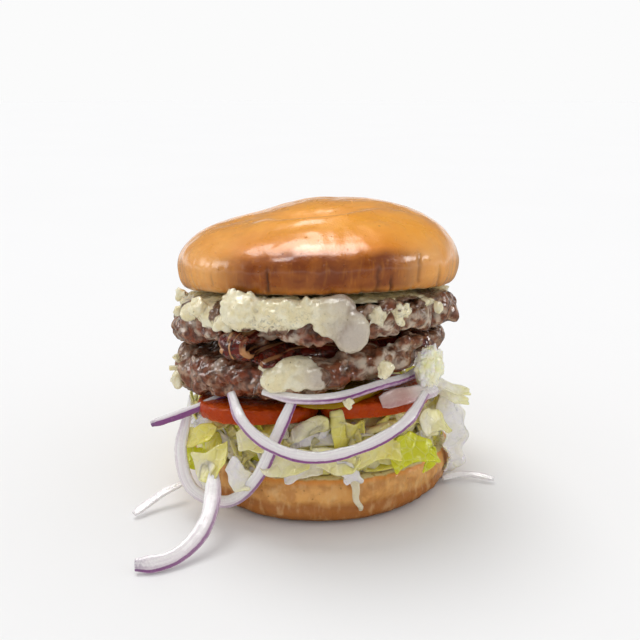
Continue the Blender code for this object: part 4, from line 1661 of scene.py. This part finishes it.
@dataclass
class Bacon:
    """The rashers between the patties."""

    material: Material
    around: int = 28
    step: float = 0.0009
    rashers: tuple = (
        (
            "bacon_rasher_fold",
            Rasher(
                (
                    (-0.0100, -0.0180, 0.0700), (-0.0250, -0.0400, 0.0722), (-0.0292, -0.0500, 0.0715),
                    (-0.0300, -0.0535, 0.0685), (-0.0290, -0.0500, 0.0655), (-0.0240, -0.0390, 0.0640),
                    (-0.0120, -0.0200, 0.0612),
                ),
                (-0.0235, -0.0400, 0.0680), (0.87, -0.48, 0.0), 0.0066, 0.0016, 0.8,
            ),
        ),
        (
            "bacon_rasher_front",
            Rasher(
                (
                    (-0.0225, -0.0510, 0.0640), (-0.0120, -0.0420, 0.0655), (0.0080, -0.0340, 0.0635),
                    (0.0250, -0.0300, 0.0640), (0.0390, -0.0230, 0.0640),
                ),
                None, (0.0, -0.35, 1.0), 0.0062, 0.0012, 0.5,
            ),
        ),
        (
            "bacon_rasher_back",
            Rasher(
                (
                    (-0.0500, 0.0260, 0.0522), (-0.0180, 0.0330, 0.0535), (0.0180, 0.0330, 0.0565),
                    (0.0500, 0.0220, 0.0600),
                ),
                None, (0.0, 0.0, 1.0), 0.0115, 0.0012, 1.0,
            ),
        ),
    )

    def build(self) -> list[Object]:
        """Builds the rashers."""
        return [self.build_rasher(node, rasher) for node, rasher in self.rashers]

    def build_rasher(self, node: str, rasher: Rasher) -> Object:
        """One rasher: a flat rounded section drawn along its line, rippled and puckered.

        Args:
            node: Name of the CAD node.
            rasher: The rasher's line and sizes.

        Returns:
            The piece.
        """
        route, _ = fine_route(rasher.points, self.step)
        bm = tube(len(route), self.around)
        station, seat = bm.verts.layers.int["station"], bm.verts.layers.int["seat"]
        band, along = bm.verts.layers.float.new("band"), bm.verts.layers.float.new("along")
        fat = bm.verts.layers.float.new("fat")
        for vert in bm.verts:
            turn = vert[seat] / self.around * math.tau
            across = math.copysign(abs(math.cos(turn)) ** 0.6, math.cos(turn))
            vert.co = self.point(rasher, route, vert[station], across, math.sin(turn))
            vert[band], vert[along], vert[fat] = across, vert[station] / 9, rasher.fat
        bmesh.ops.recalc_face_normals(bm, faces=bm.faces)
        press(bm, lumpy((0.00030, 0.0016), (0.00055, 0.0048)))
        return add_piece(node.replace("bacon", "dressed"), bm, self.material, [node])

    def point(self, rasher: Rasher, route: list[Vector], i: int, across: float, out_share: float) -> Vector:
        """A point of the rasher's skin.

        Args:
            rasher: The rasher's sizes.
            route: Its line.
            i: Number of the section.
            across: From -1 to 1 over its width.
            out_share: From -1 to 1 through its thickness.

        Returns:
            The point.
        """
        out, side = axes_along(route, i, rasher.face, rasher.fold_centre)
        share = i / (len(route) - 1)
        uneven = noise.noise(Vector((share * 7, across, 4.0)))
        width = rasher.half_width * (0.88 + 0.10 * math.sin(share * 9.0) + 0.10 * uneven)
        wave = 0.0007 * math.sin(share * 21.0 + across * 1.2) * (0.3 + 0.7 * abs(across))
        cup = -0.0009 * across * across
        return route[i] + side * width * across + out * (out_share * rasher.half_thick + wave + cup)


@dataclass
class Slices:
    """Tomato and pickle slices, with the few places where a slice's edge reaches out or droops."""

    tomato: Material
    pickle: Material
    voxel: float = 0.00065
    pulls: tuple = (
        ("tomato_slice_left", Spot((-0.0030, -0.0470, 0.0420), 0.0110), (0.0035, -0.0030, 0.0)),
        ("tomato_slice_right", Spot((0.0040, -0.0450, 0.0430), 0.0110), (-0.0045, -0.0035, 0.0)),
        ("pickle_slice_front", Spot((0.0030, -0.0520, 0.0475), 0.0160), (0.0, -0.0042, -0.0018)),
    )

    def build(self) -> list[Object]:
        """Builds the slices.

        Returns:
            The pieces.
        """
        made = []
        for side in ("left", "right", "back"):
            made.append(self.build_slice(f"tomato_slice_{side}", self.tomato))
        for side in ("front", "back"):
            made.append(self.build_slice(f"pickle_slice_{side}", self.pickle))
        return made

    def build_slice(self, node: str, material: Material) -> Object:
        """One slice.

        Args:
            node: Name of the CAD node.
            material: Its finish.

        Returns:
            The piece.
        """
        skin = skinned(node_mesh(node), self.voxel, 3)
        for name, spot, way in self.pulls:
            if name == node:
                for vert in skin.verts:
                    vert.co += Vector(way) * spot.at(vert.co)
        press(skin, lumpy((0.00025, 0.0030), (0.00030, 0.010)))
        paint(skin, "rim", lambda place, normal: 0.8 * (1 - eased(abs(normal.z), 0.25, 0.75)))
        return add_piece(f"dressed_{node}", skin, material, [node])


@dataclass(frozen=True)
class OnionCut:
    """The line of one cut strip of onion, which way its faces look, its sizes and its colouring."""

    points: tuple
    centre: Point
    face: Point
    half_across: float
    half_out: float
    stains: tuple = (1.0, 1.0)
    dried: tuple = ()
    skin_shift: float = 0.0
    thin: tuple = ()


TO_VIEWER = (0.0, -0.88, 0.47)
UPWARD = (0.0, -0.50, 0.87)
ONION_CUTS = {
    "onion_arc_front": OnionCut(
        (
            (-0.0316, -0.0480, 0.0505), (-0.0274, -0.0565, 0.0441), (-0.0199, -0.0610, 0.0381),
            (-0.0103, -0.0630, 0.0342), (0.0000, -0.0638, 0.0332), (0.0109, -0.0630, 0.0353),
            (0.0214, -0.0600, 0.0387), (0.0308, -0.0540, 0.0428), (0.0384, -0.0420, 0.0480),
        ),
        (0.0050, -0.0480, 0.0520), TO_VIEWER, 0.0013, 0.0021, (0.6, 0.9, 1.0, 1.0, 1.0, 0.8),
    ),
    "onion_loop_left": OnionCut(
        (
            (-0.0088, -0.0525, 0.0512), (-0.0149, -0.0560, 0.0380), (-0.0228, -0.0545, 0.0200),
            (-0.0338, -0.0510, 0.0088), (-0.0470, -0.0475, 0.0118), (-0.0518, -0.0425, 0.0240),
            (-0.0500, -0.0350, 0.0362),
        ),
        (-0.0330, -0.0460, 0.0310), TO_VIEWER, 0.0012, 0.0023, (1.4, 1.0, 0.9, 0.5, 0.15, 0.1, 0.2),
    ),
    "onion_strip_hanging": OnionCut(
        (
            (-0.0387, -0.0500, 0.0214), (-0.0383, -0.0565, 0.0158), (-0.0386, -0.0620, 0.0118),
            (-0.0402, -0.0670, 0.0085), (-0.0438, -0.0725, 0.0052), (-0.0487, -0.0775, 0.0034),
            (-0.0545, -0.0805, 0.0029), (-0.0614, -0.0815, 0.0029),
        ),
        (-0.0750, -0.0500, 0.0300), (0.0, -0.82, 0.57), 0.0010, 0.0029, (0.1, 0.6, 0.8, 0.9, 1.0),
        (Spot((-0.0620, -0.0815, 0.0029), 0.0050, 0.8), Spot((-0.0545, -0.0805, 0.0029), 0.0090, 0.20)),
    ),
    "onion_strip_left": OnionCut(
        (
            (-0.0631, -0.0370, 0.0334), (-0.0541, -0.0378, 0.0369), (-0.0440, -0.0370, 0.0407),
            (-0.0360, -0.0330, 0.0430),
        ),
        (-0.0500, -0.0370, 0.0900), TO_VIEWER, 0.0014, 0.0017, (1.3, 1.3),
        (Spot((-0.0630, -0.0370, 0.0334), 0.0024, 1.0),), 0.32,
    ),
    "onion_ring_top": OnionCut(
        (
            (-0.0200, -0.0525, 0.0530), (-0.0080, -0.0550, 0.0512), (0.0060, -0.0545, 0.0516),
            (0.0200, -0.0485, 0.0534), (0.0340, -0.0330, 0.0514), (0.0415, -0.0100, 0.0488),
            (0.0400, 0.0140, 0.0458), (0.0300, 0.0330, 0.0425),
        ),
        (0.0000, -0.0100, 0.0500), UPWARD, 0.0012, 0.0019, (0.0, 0.8, 1.4, 1.4, 1.2, 1.0),
    ),
    "onion_slab_right": OnionCut(
        (
            (0.0215, -0.0500, 0.0478), (0.0286, -0.0478, 0.0490), (0.0370, -0.0410, 0.0478),
            (0.0440, -0.0300, 0.0450),
        ),
        (0.0180, -0.0200, 0.0500), (0.30, -0.62, 0.72), 0.0008, 0.0032, (0.3, 0.4), (), 0.0,
        (Spot((0.0290, -0.0480, 0.0480), 0.0100, 0.75), Spot((0.0240, -0.0490, 0.0470), 0.0060, 0.75)),
    ),
    "onion_arc_back": OnionCut(
        (
            (0.0350, 0.0390, 0.0330), (0.0240, 0.0510, 0.0270), (0.0000, 0.0570, 0.0220),
            (-0.0250, 0.0510, 0.0250), (-0.0380, 0.0390, 0.0300),
        ),
        (-0.0020, 0.0340, 0.0330), (0.0, 0.85, 0.50), 0.0013, 0.0020,
    ),
    "onion_strip_floor_left": OnionCut(
        (
            (-0.0529, -0.0340, 0.0073), (-0.0596, -0.0385, 0.0056), (-0.0645, -0.0425, 0.0036),
            (-0.0695, -0.0480, 0.0018),
        ),
        (-0.0450, -0.0600, 0.0300), UPWARD, 0.0007, 0.0015, (0.0, 0.1),
    ),
    "onion_strip_floor_right": OnionCut(
        (
            (0.0495, -0.0225, 0.0028), (0.0560, -0.0195, 0.0028), (0.0634, -0.0190, 0.0024),
            (0.0708, -0.0215, 0.0019),
        ),
        (0.0600, -0.0400, 0.0300), UPWARD, 0.0007, 0.0014, (0.0, 0.1),
    ),
}


@dataclass
class Onions:
    """The cut rings of red onion."""

    material: Material
    around: int = 22
    step: float = 0.0008

    def build(self) -> list[Object]:
        """Builds the rings."""
        return [self.build_strip(node, cut) for node, cut in ONION_CUTS.items()]

    def build_strip(self, node: str, cut: OnionCut) -> Object:
        """One strip: a round-cornered section drawn along its line.

        Args:
            node: Name of the CAD node.
            cut: The strip's line and sizes.

        Returns:
            The piece.
        """
        route, length = fine_route(cut.points, self.step)
        last = len(route) - 1
        bm = tube(len(route), self.around)
        station, seat = bm.verts.layers.int["station"], bm.verts.layers.int["seat"]
        layers = {name: bm.verts.layers.float.new(name) for name in ("skin", "stain", "along")}
        for vert in bm.verts:
            share = vert[station] / last
            turn = vert[seat] / self.around * math.tau
            across = math.copysign(abs(math.cos(turn)) ** 0.65, math.cos(turn))
            outward = math.copysign(abs(math.sin(turn)) ** 0.80, math.sin(turn))
            vert.co = self.point(cut, route, vert[station], across, outward)
            bare = 0.5 + 0.5 * outward
            vert[layers["skin"]] = min(0.92, bare + cut.skin_shift) if cut.skin_shift else bare
            vert[layers["stain"]] = self.stain(cut, share)
            vert[layers["along"]] = share * length / 0.02
        bmesh.ops.recalc_face_normals(bm, faces=bm.faces)
        press(bm, lumpy((0.00010, 0.0022)))
        paint(bm, "dried", patches(cut.dried))
        paint(bm, "thin", patches(cut.thin))
        return add_piece(f"dressed_{node}", bm, self.material, [node])

    def stain(self, cut: OnionCut, share: float) -> float:
        """How strongly the skin's purple shows.

        Args:
            cut: The strip's colouring.
            share: Where, as a share of its length.

        Returns:
            The strength.
        """
        at = share * (len(cut.stains) - 1)
        k = min(int(at), len(cut.stains) - 2)
        return cut.stains[k] + (cut.stains[k + 1] - cut.stains[k]) * (at - k)

    def point(self, cut: OnionCut, route: list[Vector], i: int, across: float, outward: float) -> Vector:
        """A point of the strip's skin.

        Args:
            cut: The strip's sizes.
            route: Its line.
            i: Number of the section.
            across: From -1 to 1 through its thickness.
            outward: From -1 to 1 over its width, towards the onion's skin.

        Returns:
            The point.
        """
        last = len(route) - 1
        middle = route[i]
        out, side = axes_along(route, i, cut.face, cut.centre)
        taper = 0.70 + 0.30 * eased(min(i, last - i) / last, 0.0, 0.12)
        swell = 1 + 0.16 * noise.noise(middle / 0.009)
        layer = 0.12 * math.sin(outward * 7.0) * cut.half_across
        through = side * (across * (cut.half_across * taper + layer))
        return middle + through + out * outward * cut.half_out * taper * swell


@dataclass(frozen=True)
class Shred:
    """One strip of leaf: where it lies, which way it runs and looks, its sizes, its bends and its tint."""

    middle: Vector
    ahead: Vector
    facing: Vector
    half_length: float
    half_width: float
    bow: float
    cup: float
    twist: float
    ruffle: float
    tint: float
    phase: float

    def point(self, along: float, across: float) -> Vector:
        """A point of the strip.

        Args:
            along: From -1 to 1 along it.
            across: From -1 to 1 across it.

        Returns:
            The point.
        """
        flat_side = self.ahead.cross(self.facing).normalized()
        turn = self.twist * along
        side = flat_side * math.cos(turn) + self.facing * math.sin(turn)
        up = self.facing * math.cos(turn) - flat_side * math.sin(turn)
        torn = 1 + 0.30 * noise.noise(Vector((along * 2.2, self.phase * 7, across)))
        width = self.half_width * (1 - 0.22 * abs(along) ** 4) * torn
        lift = self.cup * across * across
        lift += self.ruffle * math.sin(along * 5.0 + self.phase + across * 1.6) * (0.35 + 0.65 * abs(across))
        bend = self.facing * self.bow * (along * along - 0.33)
        spine = self.middle + self.ahead * self.half_length * along + bend
        sway = flat_side * self.half_width * 0.5 * math.sin(along * 1.9 + self.phase)
        return spine + sway + side * width * across + up * lift


def placed_shred(
    middle: Point,
    ahead: Point,
    facing: Point,
    half_length: float,
    half_width: float,
    tint: float,
    phase: float,
) -> Shred:
    """A shred that the photograph shows by itself.

    Args:
        middle: Its middle.
        ahead: The way it runs.
        facing: The way it looks.
        half_length: Half its length.
        half_width: Half its width.
        tint: From 0 for white to 1 for bright green.
        phase: Where its ruffles start.

    Returns:
        The shred.
    """
    run = Vector(ahead).normalized()
    face = Vector(facing)
    face = (face - run * face.dot(run)).normalized()
    return Shred(
        Vector(middle), run, face, half_length, half_width,
        bow=-0.0008, cup=0.0009, twist=0.25, ruffle=0.0006, tint=tint, phase=phase,
    )


@dataclass
class Lettuce:
    """The shredded lettuce, the leaf at the right and the crumpled heart leaf above it."""

    material: Material
    core: float = 0.0475
    cut: Point = (0.0133, 0.0, 0.110)
    bed: Point = (0.0320, 0.020, 0.135)
    count: int = 300
    heap_voxel: float = 0.00080
    rib_voxel: float = 0.00034
    ribs: int = 26
    leaf_stations: int = 200
    thickness: float = 0.0006
    leaf_face: Point = (0.75, -0.62, 0.25)
    leaf: tuple[Point, ...] = (
        (0.0478, -0.0190, 0.0400), (0.0530, -0.0180, 0.0307), (0.0550, -0.0175, 0.0210),
        (0.0548, -0.0180, 0.0115), (0.0515, -0.0185, 0.0040),
    )
    heart: Point = (0.0400, -0.0375, 0.0566)
    heart_radii: Point = (0.0050, 0.0042, 0.0078)
    strips: tuple = (
        ("lettuce_shred_upper", (0.0420, -0.0270, 0.0470), (0.0591, -0.0200, 0.0395)),
        ("lettuce_shred_lower", (0.0430, -0.0240, 0.0430), (0.0587, -0.0210, 0.0358)),
    )
    seed: int = 23
    shown: tuple = (
        ((-0.0480, -0.0395, 0.0225), (1, -0.5, 0.15), (-0.5, -0.8, 0.35), 0.0046, 0.0042, 1.0, 0.4),
        ((-0.0400, -0.0485, 0.0245), (1, -0.3, 0.30), (-0.3, -0.8, 0.45), 0.0070, 0.0052, 0.42, 2.0),
        ((-0.0285, -0.0530, 0.0215), (1, -0.1, -0.55), (-0.2, -0.9, 0.40), 0.0056, 0.0042, 0.10, 1.0),
        ((-0.0405, -0.0500, 0.0185), (0.3, -0.1, 1.0), (-0.4, -0.9, 0.20), 0.0058, 0.0030, 0.20, 4.0),
        ((0.0104, -0.0560, 0.0232), (0.05, -0.1, 1.0), (0.1, -0.95, 0.10), 0.0046, 0.0034, 0.02, 3.0),
        ((0.0340, -0.0480, 0.0262), (1, 0.5, 0.10), (0.3, -0.75, 0.60), 0.0092, 0.0055, 0.98, 5.0),
        ((0.0400, -0.0440, 0.0225), (0.25, 0.2, 1.0), (0.5, -0.8, 0.20), 0.0052, 0.0020, 1.0, 1.5),
        ((0.0060, -0.0545, 0.0285), (1, 0.0, 0.25), (0.0, -0.8, 0.60), 0.0080, 0.0045, 0.34, 0.9),
        ((-0.0120, -0.0545, 0.0270), (1, 0.0, -0.30), (0.0, -0.85, 0.50), 0.0085, 0.0046, 0.30, 2.6),
        ((-0.0060, -0.0545, 0.0222), (1, 0.0, 0.10), (0.0, -0.9, 0.35), 0.0070, 0.0022, 0.12, 3.7),
        ((0.0210, -0.0530, 0.0290), (1, 0.3, -0.10), (0.2, -0.8, 0.55), 0.0085, 0.0042, 0.50, 4.4),
        ((0.0430, -0.0360, 0.0330), (0.8, 0.8, 0.10), (0.6, -0.6, 0.50), 0.0065, 0.0048, 0.30, 5.6),
        ((-0.0220, -0.0520, 0.0330), (1, 0.0, 0.20), (0.0, -0.7, 0.70), 0.0075, 0.0040, 0.36, 0.1),
        ((-0.0455, -0.0400, 0.0300), (0.8, -0.6, 0.05), (-0.5, -0.6, 0.60), 0.0070, 0.0042, 0.55, 3.1),
    )

    def build(self) -> list[Object]:
        """Builds the lettuce.

        Returns:
            The pieces.
        """
        pieces = [
            self.build_heap(),
            self.build_shreds("heap_shreds", self.heap_shreds(), 10, 3),
            self.build_shreds("heap_blades", [placed_shred(*row) for row in self.shown], 22, 10),
            self.build_ribs(),
            self.build_leaf(),
            self.build_heart(),
        ]
        for node, start, end in self.strips:
            middle = (Vector(start) + Vector(end)) / 2
            ahead = Vector(end) - Vector(start)
            strip = placed_shred(middle, ahead, (0.2, -0.85, 0.45), ahead.length / 2, 0.0018, 0.16, 1.0)
            pieces.append(self.build_shreds(f"dressed_{node}", [strip], 20, 6, [node]))
        return pieces

    def build_heap(self) -> Object:
        """The body of the heap behind its loose shreds.

        Returns:
            The piece.
        """
        skin = skinned(node_mesh("lettuce_heap"), self.heap_voxel, 1)
        press(skin, lumpy((0.0007, 0.0040), level=-0.0009))
        mark_hollows(skin)
        paint(skin, "tint", lumpy((0.30, 0.006), level=0.45))
        return add_piece("heap_body", skin, self.material, ["lettuce_heap"])

    def spread(self, azimuth: float) -> float:
        """How much further the heap reaches at the front left."""
        off = (math.degrees(azimuth) - 205 + 180) % 360 - 180
        return 1 + 0.07 * math.exp(-((off / 22) ** 2))

    def place_on_heap(self, azimuth: float, level: float, out: float) -> Vector:
        """A place at the heap's side.

        Args:
            azimuth: Direction from the middle.
            level: Height from 0 at the heel to 1 at the tomato.
            out: Distance beyond the heap's core.

        Returns:
            The place.
        """
        radius = self.core * self.spread(azimuth) + out
        around = toward(azimuth) * radius
        low, high = plane(self.cut, around), plane(self.bed, around)
        return around + Vector((0.0, 0.0, low + (high - low) * level))

    def heap_shreds(self) -> list[Shred]:
        """Loose shreds all round the heap."""
        rng = random.Random(self.seed)
        return [self.random_shred(rng, math.tau * (k + rng.random()) / self.count) for k in range(self.count)]

    def random_shred(self, rng: random.Random, azimuth: float) -> Shred:
        """One loose shred.

        Args:
            rng: Source of the random draws.
            azimuth: Direction from the middle.

        Returns:
            The shred.
        """
        middle = self.place_on_heap(azimuth, rng.uniform(0.08, 0.95), rng.uniform(-0.0006, 0.0034))
        around = toward(azimuth)
        lean = rng.gauss(0.0, 0.6)
        ahead = Vector((-around.y * math.cos(lean), around.x * math.cos(lean), math.sin(lean)))
        facing = around + Vector((0.0, 0.0, rng.uniform(-0.3, 1.3))) + ahead * rng.uniform(-0.3, 0.3)
        facing = (facing - ahead * facing.dot(ahead)).normalized()
        kind = rng.random()
        tint = rng.uniform(0.0, 0.10) if kind < 0.16 else rng.uniform(0.24, 0.70)
        tint = 0.92 if kind > 0.94 else tint
        return Shred(
            middle, ahead, facing, rng.uniform(0.0050, 0.0100), rng.uniform(0.0014, 0.0040),
            -rng.uniform(0.0002, 0.0018), rng.uniform(-0.0012, 0.0012), rng.gauss(0.0, 0.5),
            rng.uniform(0.0003, 0.0008), tint, rng.uniform(0, 6),
        )

    def build_shreds(
        self, name: str, shreds: Sequence[Shred], along: int, across: int, nodes: Sequence[str] = ()
    ) -> Object:
        """Thin strips of leaf as one piece.

        Args:
            name: Name of the piece.
            shreds: The strips.
            along: Faces along each strip.
            across: Faces across each strip.
            nodes: CAD nodes that it stands for.

        Returns:
            The piece.
        """
        bm = bmesh.new()
        tint = bm.verts.layers.float.new("tint")
        hollow = bm.verts.layers.float.new("hollow")
        for shred in shreds:
            made = bmesh.ops.create_grid(bm, x_segments=along, y_segments=across, size=1.0)
            for vert in made["verts"]:
                to_end, to_side = vert.co.x, vert.co.y
                vert.co = shred.point(to_end, to_side)
                vert[tint] = shred.tint + 0.12 * to_end + 0.06 * abs(to_side)
                vert[hollow] = EVEN
        piece = add_piece(name, bm, self.material, nodes)
        self.thicken(piece)
        return piece

    def thicken(self, piece: Object) -> None:
        """Smooths a sheet and gives it the thickness of a leaf.

        Args:
            piece: The sheet.
        """
        smooth = piece.modifiers.new("smooth", "SUBSURF")
        smooth.levels = smooth.render_levels = 1
        shell = piece.modifiers.new("thickness", "SOLIDIFY")
        shell.thickness = self.thickness
        shell.offset = 0.0

    def build_ribs(self) -> Object:
        """Thick white pieces of leaf rib among the shreds.

        Returns:
            The piece.
        """
        rng = random.Random(self.seed + 1)
        bm = bmesh.new()
        for k in range(self.ribs):
            azimuth = math.tau * (k + rng.random()) / self.ribs
            middle = self.place_on_heap(azimuth, rng.uniform(0.15, 0.85), rng.uniform(0.0002, 0.0022))
            around = toward(azimuth, rng.uniform(-0.2, 0.7))
            sides = (rng.uniform(0.0030, 0.0055), rng.uniform(0.0012, 0.0022), rng.uniform(0.0006, 0.0010))
            add_chip(bm, middle, sides, axes_on(around, rng.gauss(0.0, 0.7)))
        bmesh.ops.bevel(
            bm, geom=bm.edges[:], offset=0.0005, offset_type="OFFSET", segments=3, profile=0.5,
            affect="EDGES", material=-1,
        )
        skin = skinned(bm, self.rib_voxel, 2)
        press(skin, lumpy((0.00030, 0.0030)))
        mark_hollows(skin, 4)
        paint(skin, "tint", lumpy((0.10, 0.005), level=0.04))
        return add_piece("heap_ribs", skin, self.material)

    def build_leaf(self) -> Object:
        """The pale ruffled leaf that hangs beside the heel.

        Returns:
            The piece.
        """
        last = self.leaf_stations
        route = smooth_route(self.leaf, last + 1)
        facing = Vector(self.leaf_face).normalized()
        bm = bmesh.new()
        tint = bm.verts.layers.float.new("tint")
        hollow = bm.verts.layers.float.new("hollow")
        bmesh.ops.create_grid(bm, x_segments=50, y_segments=22, size=1.0)
        for vert in bm.verts:
            share, across = (vert.co.x + 1) / 2, vert.co.y
            at = round(share * last)
            ahead = (route[min(at + 4, last)] - route[max(at - 4, 0)]).normalized()
            width = 0.0040 + 0.0062 * math.sin(min(1.0, share * 1.15) * math.pi) ** 0.7 * (0.6 + 0.4 * share)
            width *= 1 + 0.22 * noise.noise(Vector((share * 9, across, 2.0)))
            fold = 0.0015 * math.sin(across * 3.6 + share * 5) + 0.0008 * math.sin(share * 17 + across)
            fold += 0.0012 * abs(across) * math.sin(share * 26 + across * 2)
            fold += 0.0008 * abs(noise.noise(Vector((share * 3.0, across * 2.4, 9.0))))
            vert.co = route[at] + ahead.cross(facing).normalized() * width * across + facing * fold
            vert[tint] = 0.02 + 0.10 * abs(across) + 0.12 * noise.noise(Vector((share * 5, across * 2, 0.0)))
            vert[hollow] = EVEN
        piece = add_piece("dressed_lettuce_leaf", bm, self.material, ["lettuce_leaf_right"])
        self.thicken(piece)
        return piece

    def build_heart(self) -> Object:
        """The crumpled pale heart leaf over the right tomato.

        Returns:
            The piece.
        """
        bm = bmesh.new()
        bmesh.ops.create_icosphere(bm, subdivisions=6, radius=1.0)
        for vert in bm.verts:
            around = vert.co.normalized()
            folds = abs(noise.noise(around * 1.9 + Vector((3.0, 1.0, 2.0))))
            small = abs(noise.noise(around * 4.5))
            swell = 0.90 + 0.42 * folds + 0.16 * small
            sides = [part * radius for part, radius in zip(around, self.heart_radii)]
            vert.co = Vector(self.heart) + Vector(sides) * swell
        mark_hollows(bm, 18, 0.0008)
        paint(bm, "tint", lumpy((0.20, 0.003), level=0.17))
        return add_piece("dressed_lettuce_heart", bm, self.material, ["lettuce_frill"])


@dataclass
class Studio:
    """Floor, white surroundings, lights and camera."""

    floor_colour: Colour = (0.872, 0.872, 0.876)
    camera_place: Point = (0.0, -0.300, 0.155)
    camera_pitch: float = 17.0775
    focal_pixels: float = 765.0
    frame_pixels: float = 640.0
    sensor: float = 36.0
    lamp_place: Point = (-0.20, 0.30, 0.80)
    lamp_breadth: float = 32.0
    lamp_power: float = 1.15
    floor_radius: float = 8.0
    overhead: float = 0.70
    sides: float = 1.03
    front: float = 0.70
    seen: float = 0.965
    mirrored: float = 0.16
    horizon: float = 0.80
    windows: tuple = (
        ((0.0, 0.05, 1.0), 12.0, 21.0, 8.0),
        ((-0.42, -0.22, 0.88), 6.0, 10.0, 9.0),
        ((-0.96, 0.10, 0.36), 7.0, 18.0, 3.5),
        ((0.93, -0.10, 0.36), 6.0, 10.0, 9.0),
    )

    def build(self) -> None:
        """Builds the studio."""
        self.build_floor()
        self.build_world()
        self.build_light()
        self.build_camera()

    def build_floor(self) -> None:
        """A wide pale floor, which wet skins near it mirror dimly."""
        bm = bmesh.new()
        bmesh.ops.create_circle(bm, cap_ends=True, segments=64, radius=self.floor_radius)
        bmesh.ops.translate(bm, verts=bm.verts, vec=(0.0, 0.0, -0.0001))
        mesh = bpy.data.meshes.new("floor")
        bm.to_mesh(mesh)
        bm.free()
        surface = Surface("floor_paper", 0.0, 0.5, 0.0, (0.001, 0.001, 0.001), 0.0)
        graph = surface.graph
        shade = tuple(c * 0.995 for c in self.floor_colour)
        clouds = surface.mottled(4.0, self.floor_colour, shade, 1.0)
        mirror_ray = graph.add("ShaderNodeLightPath").outputs["Is Glossy Ray"]
        away = graph.add("ShaderNodeVectorMath", {0: surface.places}, operation="LENGTH").outputs["Value"]
        near = graph.times(mirror_ray, graph.range(away, 0.4, 1.2, 1.0, 0.0))
        dimmed = graph.mix(near, clouds, (self.mirrored,) * 3)
        graph.feed(surface.shader.inputs["Base Color"], dimmed)
        surface.shader.inputs["Roughness"].default_value = 1.0
        mesh.materials.append(surface.material)
        floor = bpy.data.objects.new("floor", mesh)
        bpy.context.scene.collection.objects.link(floor)

    def build_world(self) -> None:
        """White light, strong from above, even from the sides and dim from the front."""
        world = bpy.data.worlds.new("studio")
        world.use_nodes = True
        graph = Graph(world.node_tree)
        way = graph.add("ShaderNodeSeparateXYZ", {0: graph.add("ShaderNodeTexCoord").outputs["Generated"]})
        round_about = graph.range(way.outputs["Y"], -0.75, 0.10, self.front, self.sides)
        light = graph.range(way.outputs["Z"], 0.42, 0.78, round_about, self.overhead)
        ray = graph.add("ShaderNodeLightPath")
        lit = graph.choice(ray.outputs["Is Glossy Ray"], light, self.mirror_light(graph, light))
        strength = graph.choice(ray.outputs["Is Camera Ray"], lit, self.seen)
        background = world.node_tree.nodes["Background"]
        background.inputs["Color"].default_value = (1.0, 1.0, 1.0, 1.0)
        graph.feed(background.inputs["Strength"], strength)
        bpy.context.scene.world = world
        bpy.context.scene.view_settings.view_transform = "Standard"

    def mirror_light(self, graph: Graph, light: NodeSocket) -> NodeSocket:
        """The dimmer surroundings with a bright horizon behind and bright windows, which wet skins mirror.

        Args:
            graph: The world's tree.
            light: The even light.

        Returns:
            The strength.
        """
        way = graph.add("ShaderNodeTexCoord").outputs["Generated"]
        parts = graph.add("ShaderNodeSeparateXYZ", {0: way})
        low = graph.range(parts.outputs["Z"], 0.03, 0.14, self.horizon, self.mirrored)
        share = graph.range(parts.outputs["Y"], 0.4, 0.8, self.mirrored, low)
        seen = graph.add("ShaderNodeMath", {0: light, 1: share}, operation="MULTIPLY").outputs[0]
        for axis, inner, outer, power in self.windows:
            toward = Vector(axis).normalized()
            turned = graph.add("ShaderNodeVectorMath", {0: way, 1: toward}, operation="DOT_PRODUCT")
            rim, core = (math.cos(math.radians(angle)) for angle in (outer, inner))
            window = graph.range(turned.outputs["Value"], rim, core, 0.0, power)
            seen = graph.add("ShaderNodeMath", {0: seen, 1: window}, operation="MAXIMUM").outputs[0]
        return seen

    def build_light(self) -> None:
        """A broad soft light from behind."""
        broad = bpy.data.lights.new("broad", "SUN")
        broad.angle = math.radians(self.lamp_breadth)
        broad.energy = self.lamp_power
        lamp = bpy.data.objects.new(broad.name, broad)
        lamp.location = self.lamp_place
        lamp.rotation_euler = (-lamp.location).to_track_quat("-Z", "Y").to_euler()
        bpy.context.scene.collection.objects.link(lamp)

    def build_camera(self) -> None:
        """The camera at the photograph's place and angle."""
        data = bpy.data.cameras.new("camera")
        data.sensor_width = self.sensor
        data.lens = self.sensor * self.focal_pixels / self.frame_pixels
        data.clip_start = 0.01
        camera = bpy.data.objects.new("camera", data)
        camera.location = self.camera_place
        camera.rotation_euler = (math.radians(90 - self.camera_pitch), 0.0, 0.0)
        bpy.context.scene.collection.objects.link(camera)
        bpy.context.scene.camera = camera


def main() -> None:
    """Builds every part of the burger in turn and reports its pieces."""
    logging.basicConfig(level=logging.INFO, format="%(relativeCreated)d ms: %(message)s")
    cheese = BlueCheese().make()
    tomato = WetSlice(
        "tomato_flesh", rgb(198, 80, 10), rgb(160, 48, 2), rgb(176, 60, 4), (0.004, 0.0012, 0.0006)
    )
    pickle = WetSlice(
        "pickle_flesh", rgb(178, 150, 22), rgb(140, 104, 8), rgb(148, 112, 10), (0.003, 0.003, 0.001)
    )
    parts = [
        Crown(CrownCrust().make()),
        Heel(HeelCrust().make(), cheese),
        Patties(MinceGlaze().make()),
        Cheese(cheese),
        Bacon(BaconGlaze().make()),
        Slices(tomato.make(), pickle.make()),
        Onions(OnionFlesh().make()),
        Lettuce(LeafFlesh().make()),
    ]
    for part in parts:
        for piece in part.build():
            LOG.info("%s: %s, %d faces", type(part).__name__, piece.name, len(piece.data.polygons))
    Studio().build()


if __name__ == "__main__":
    main()
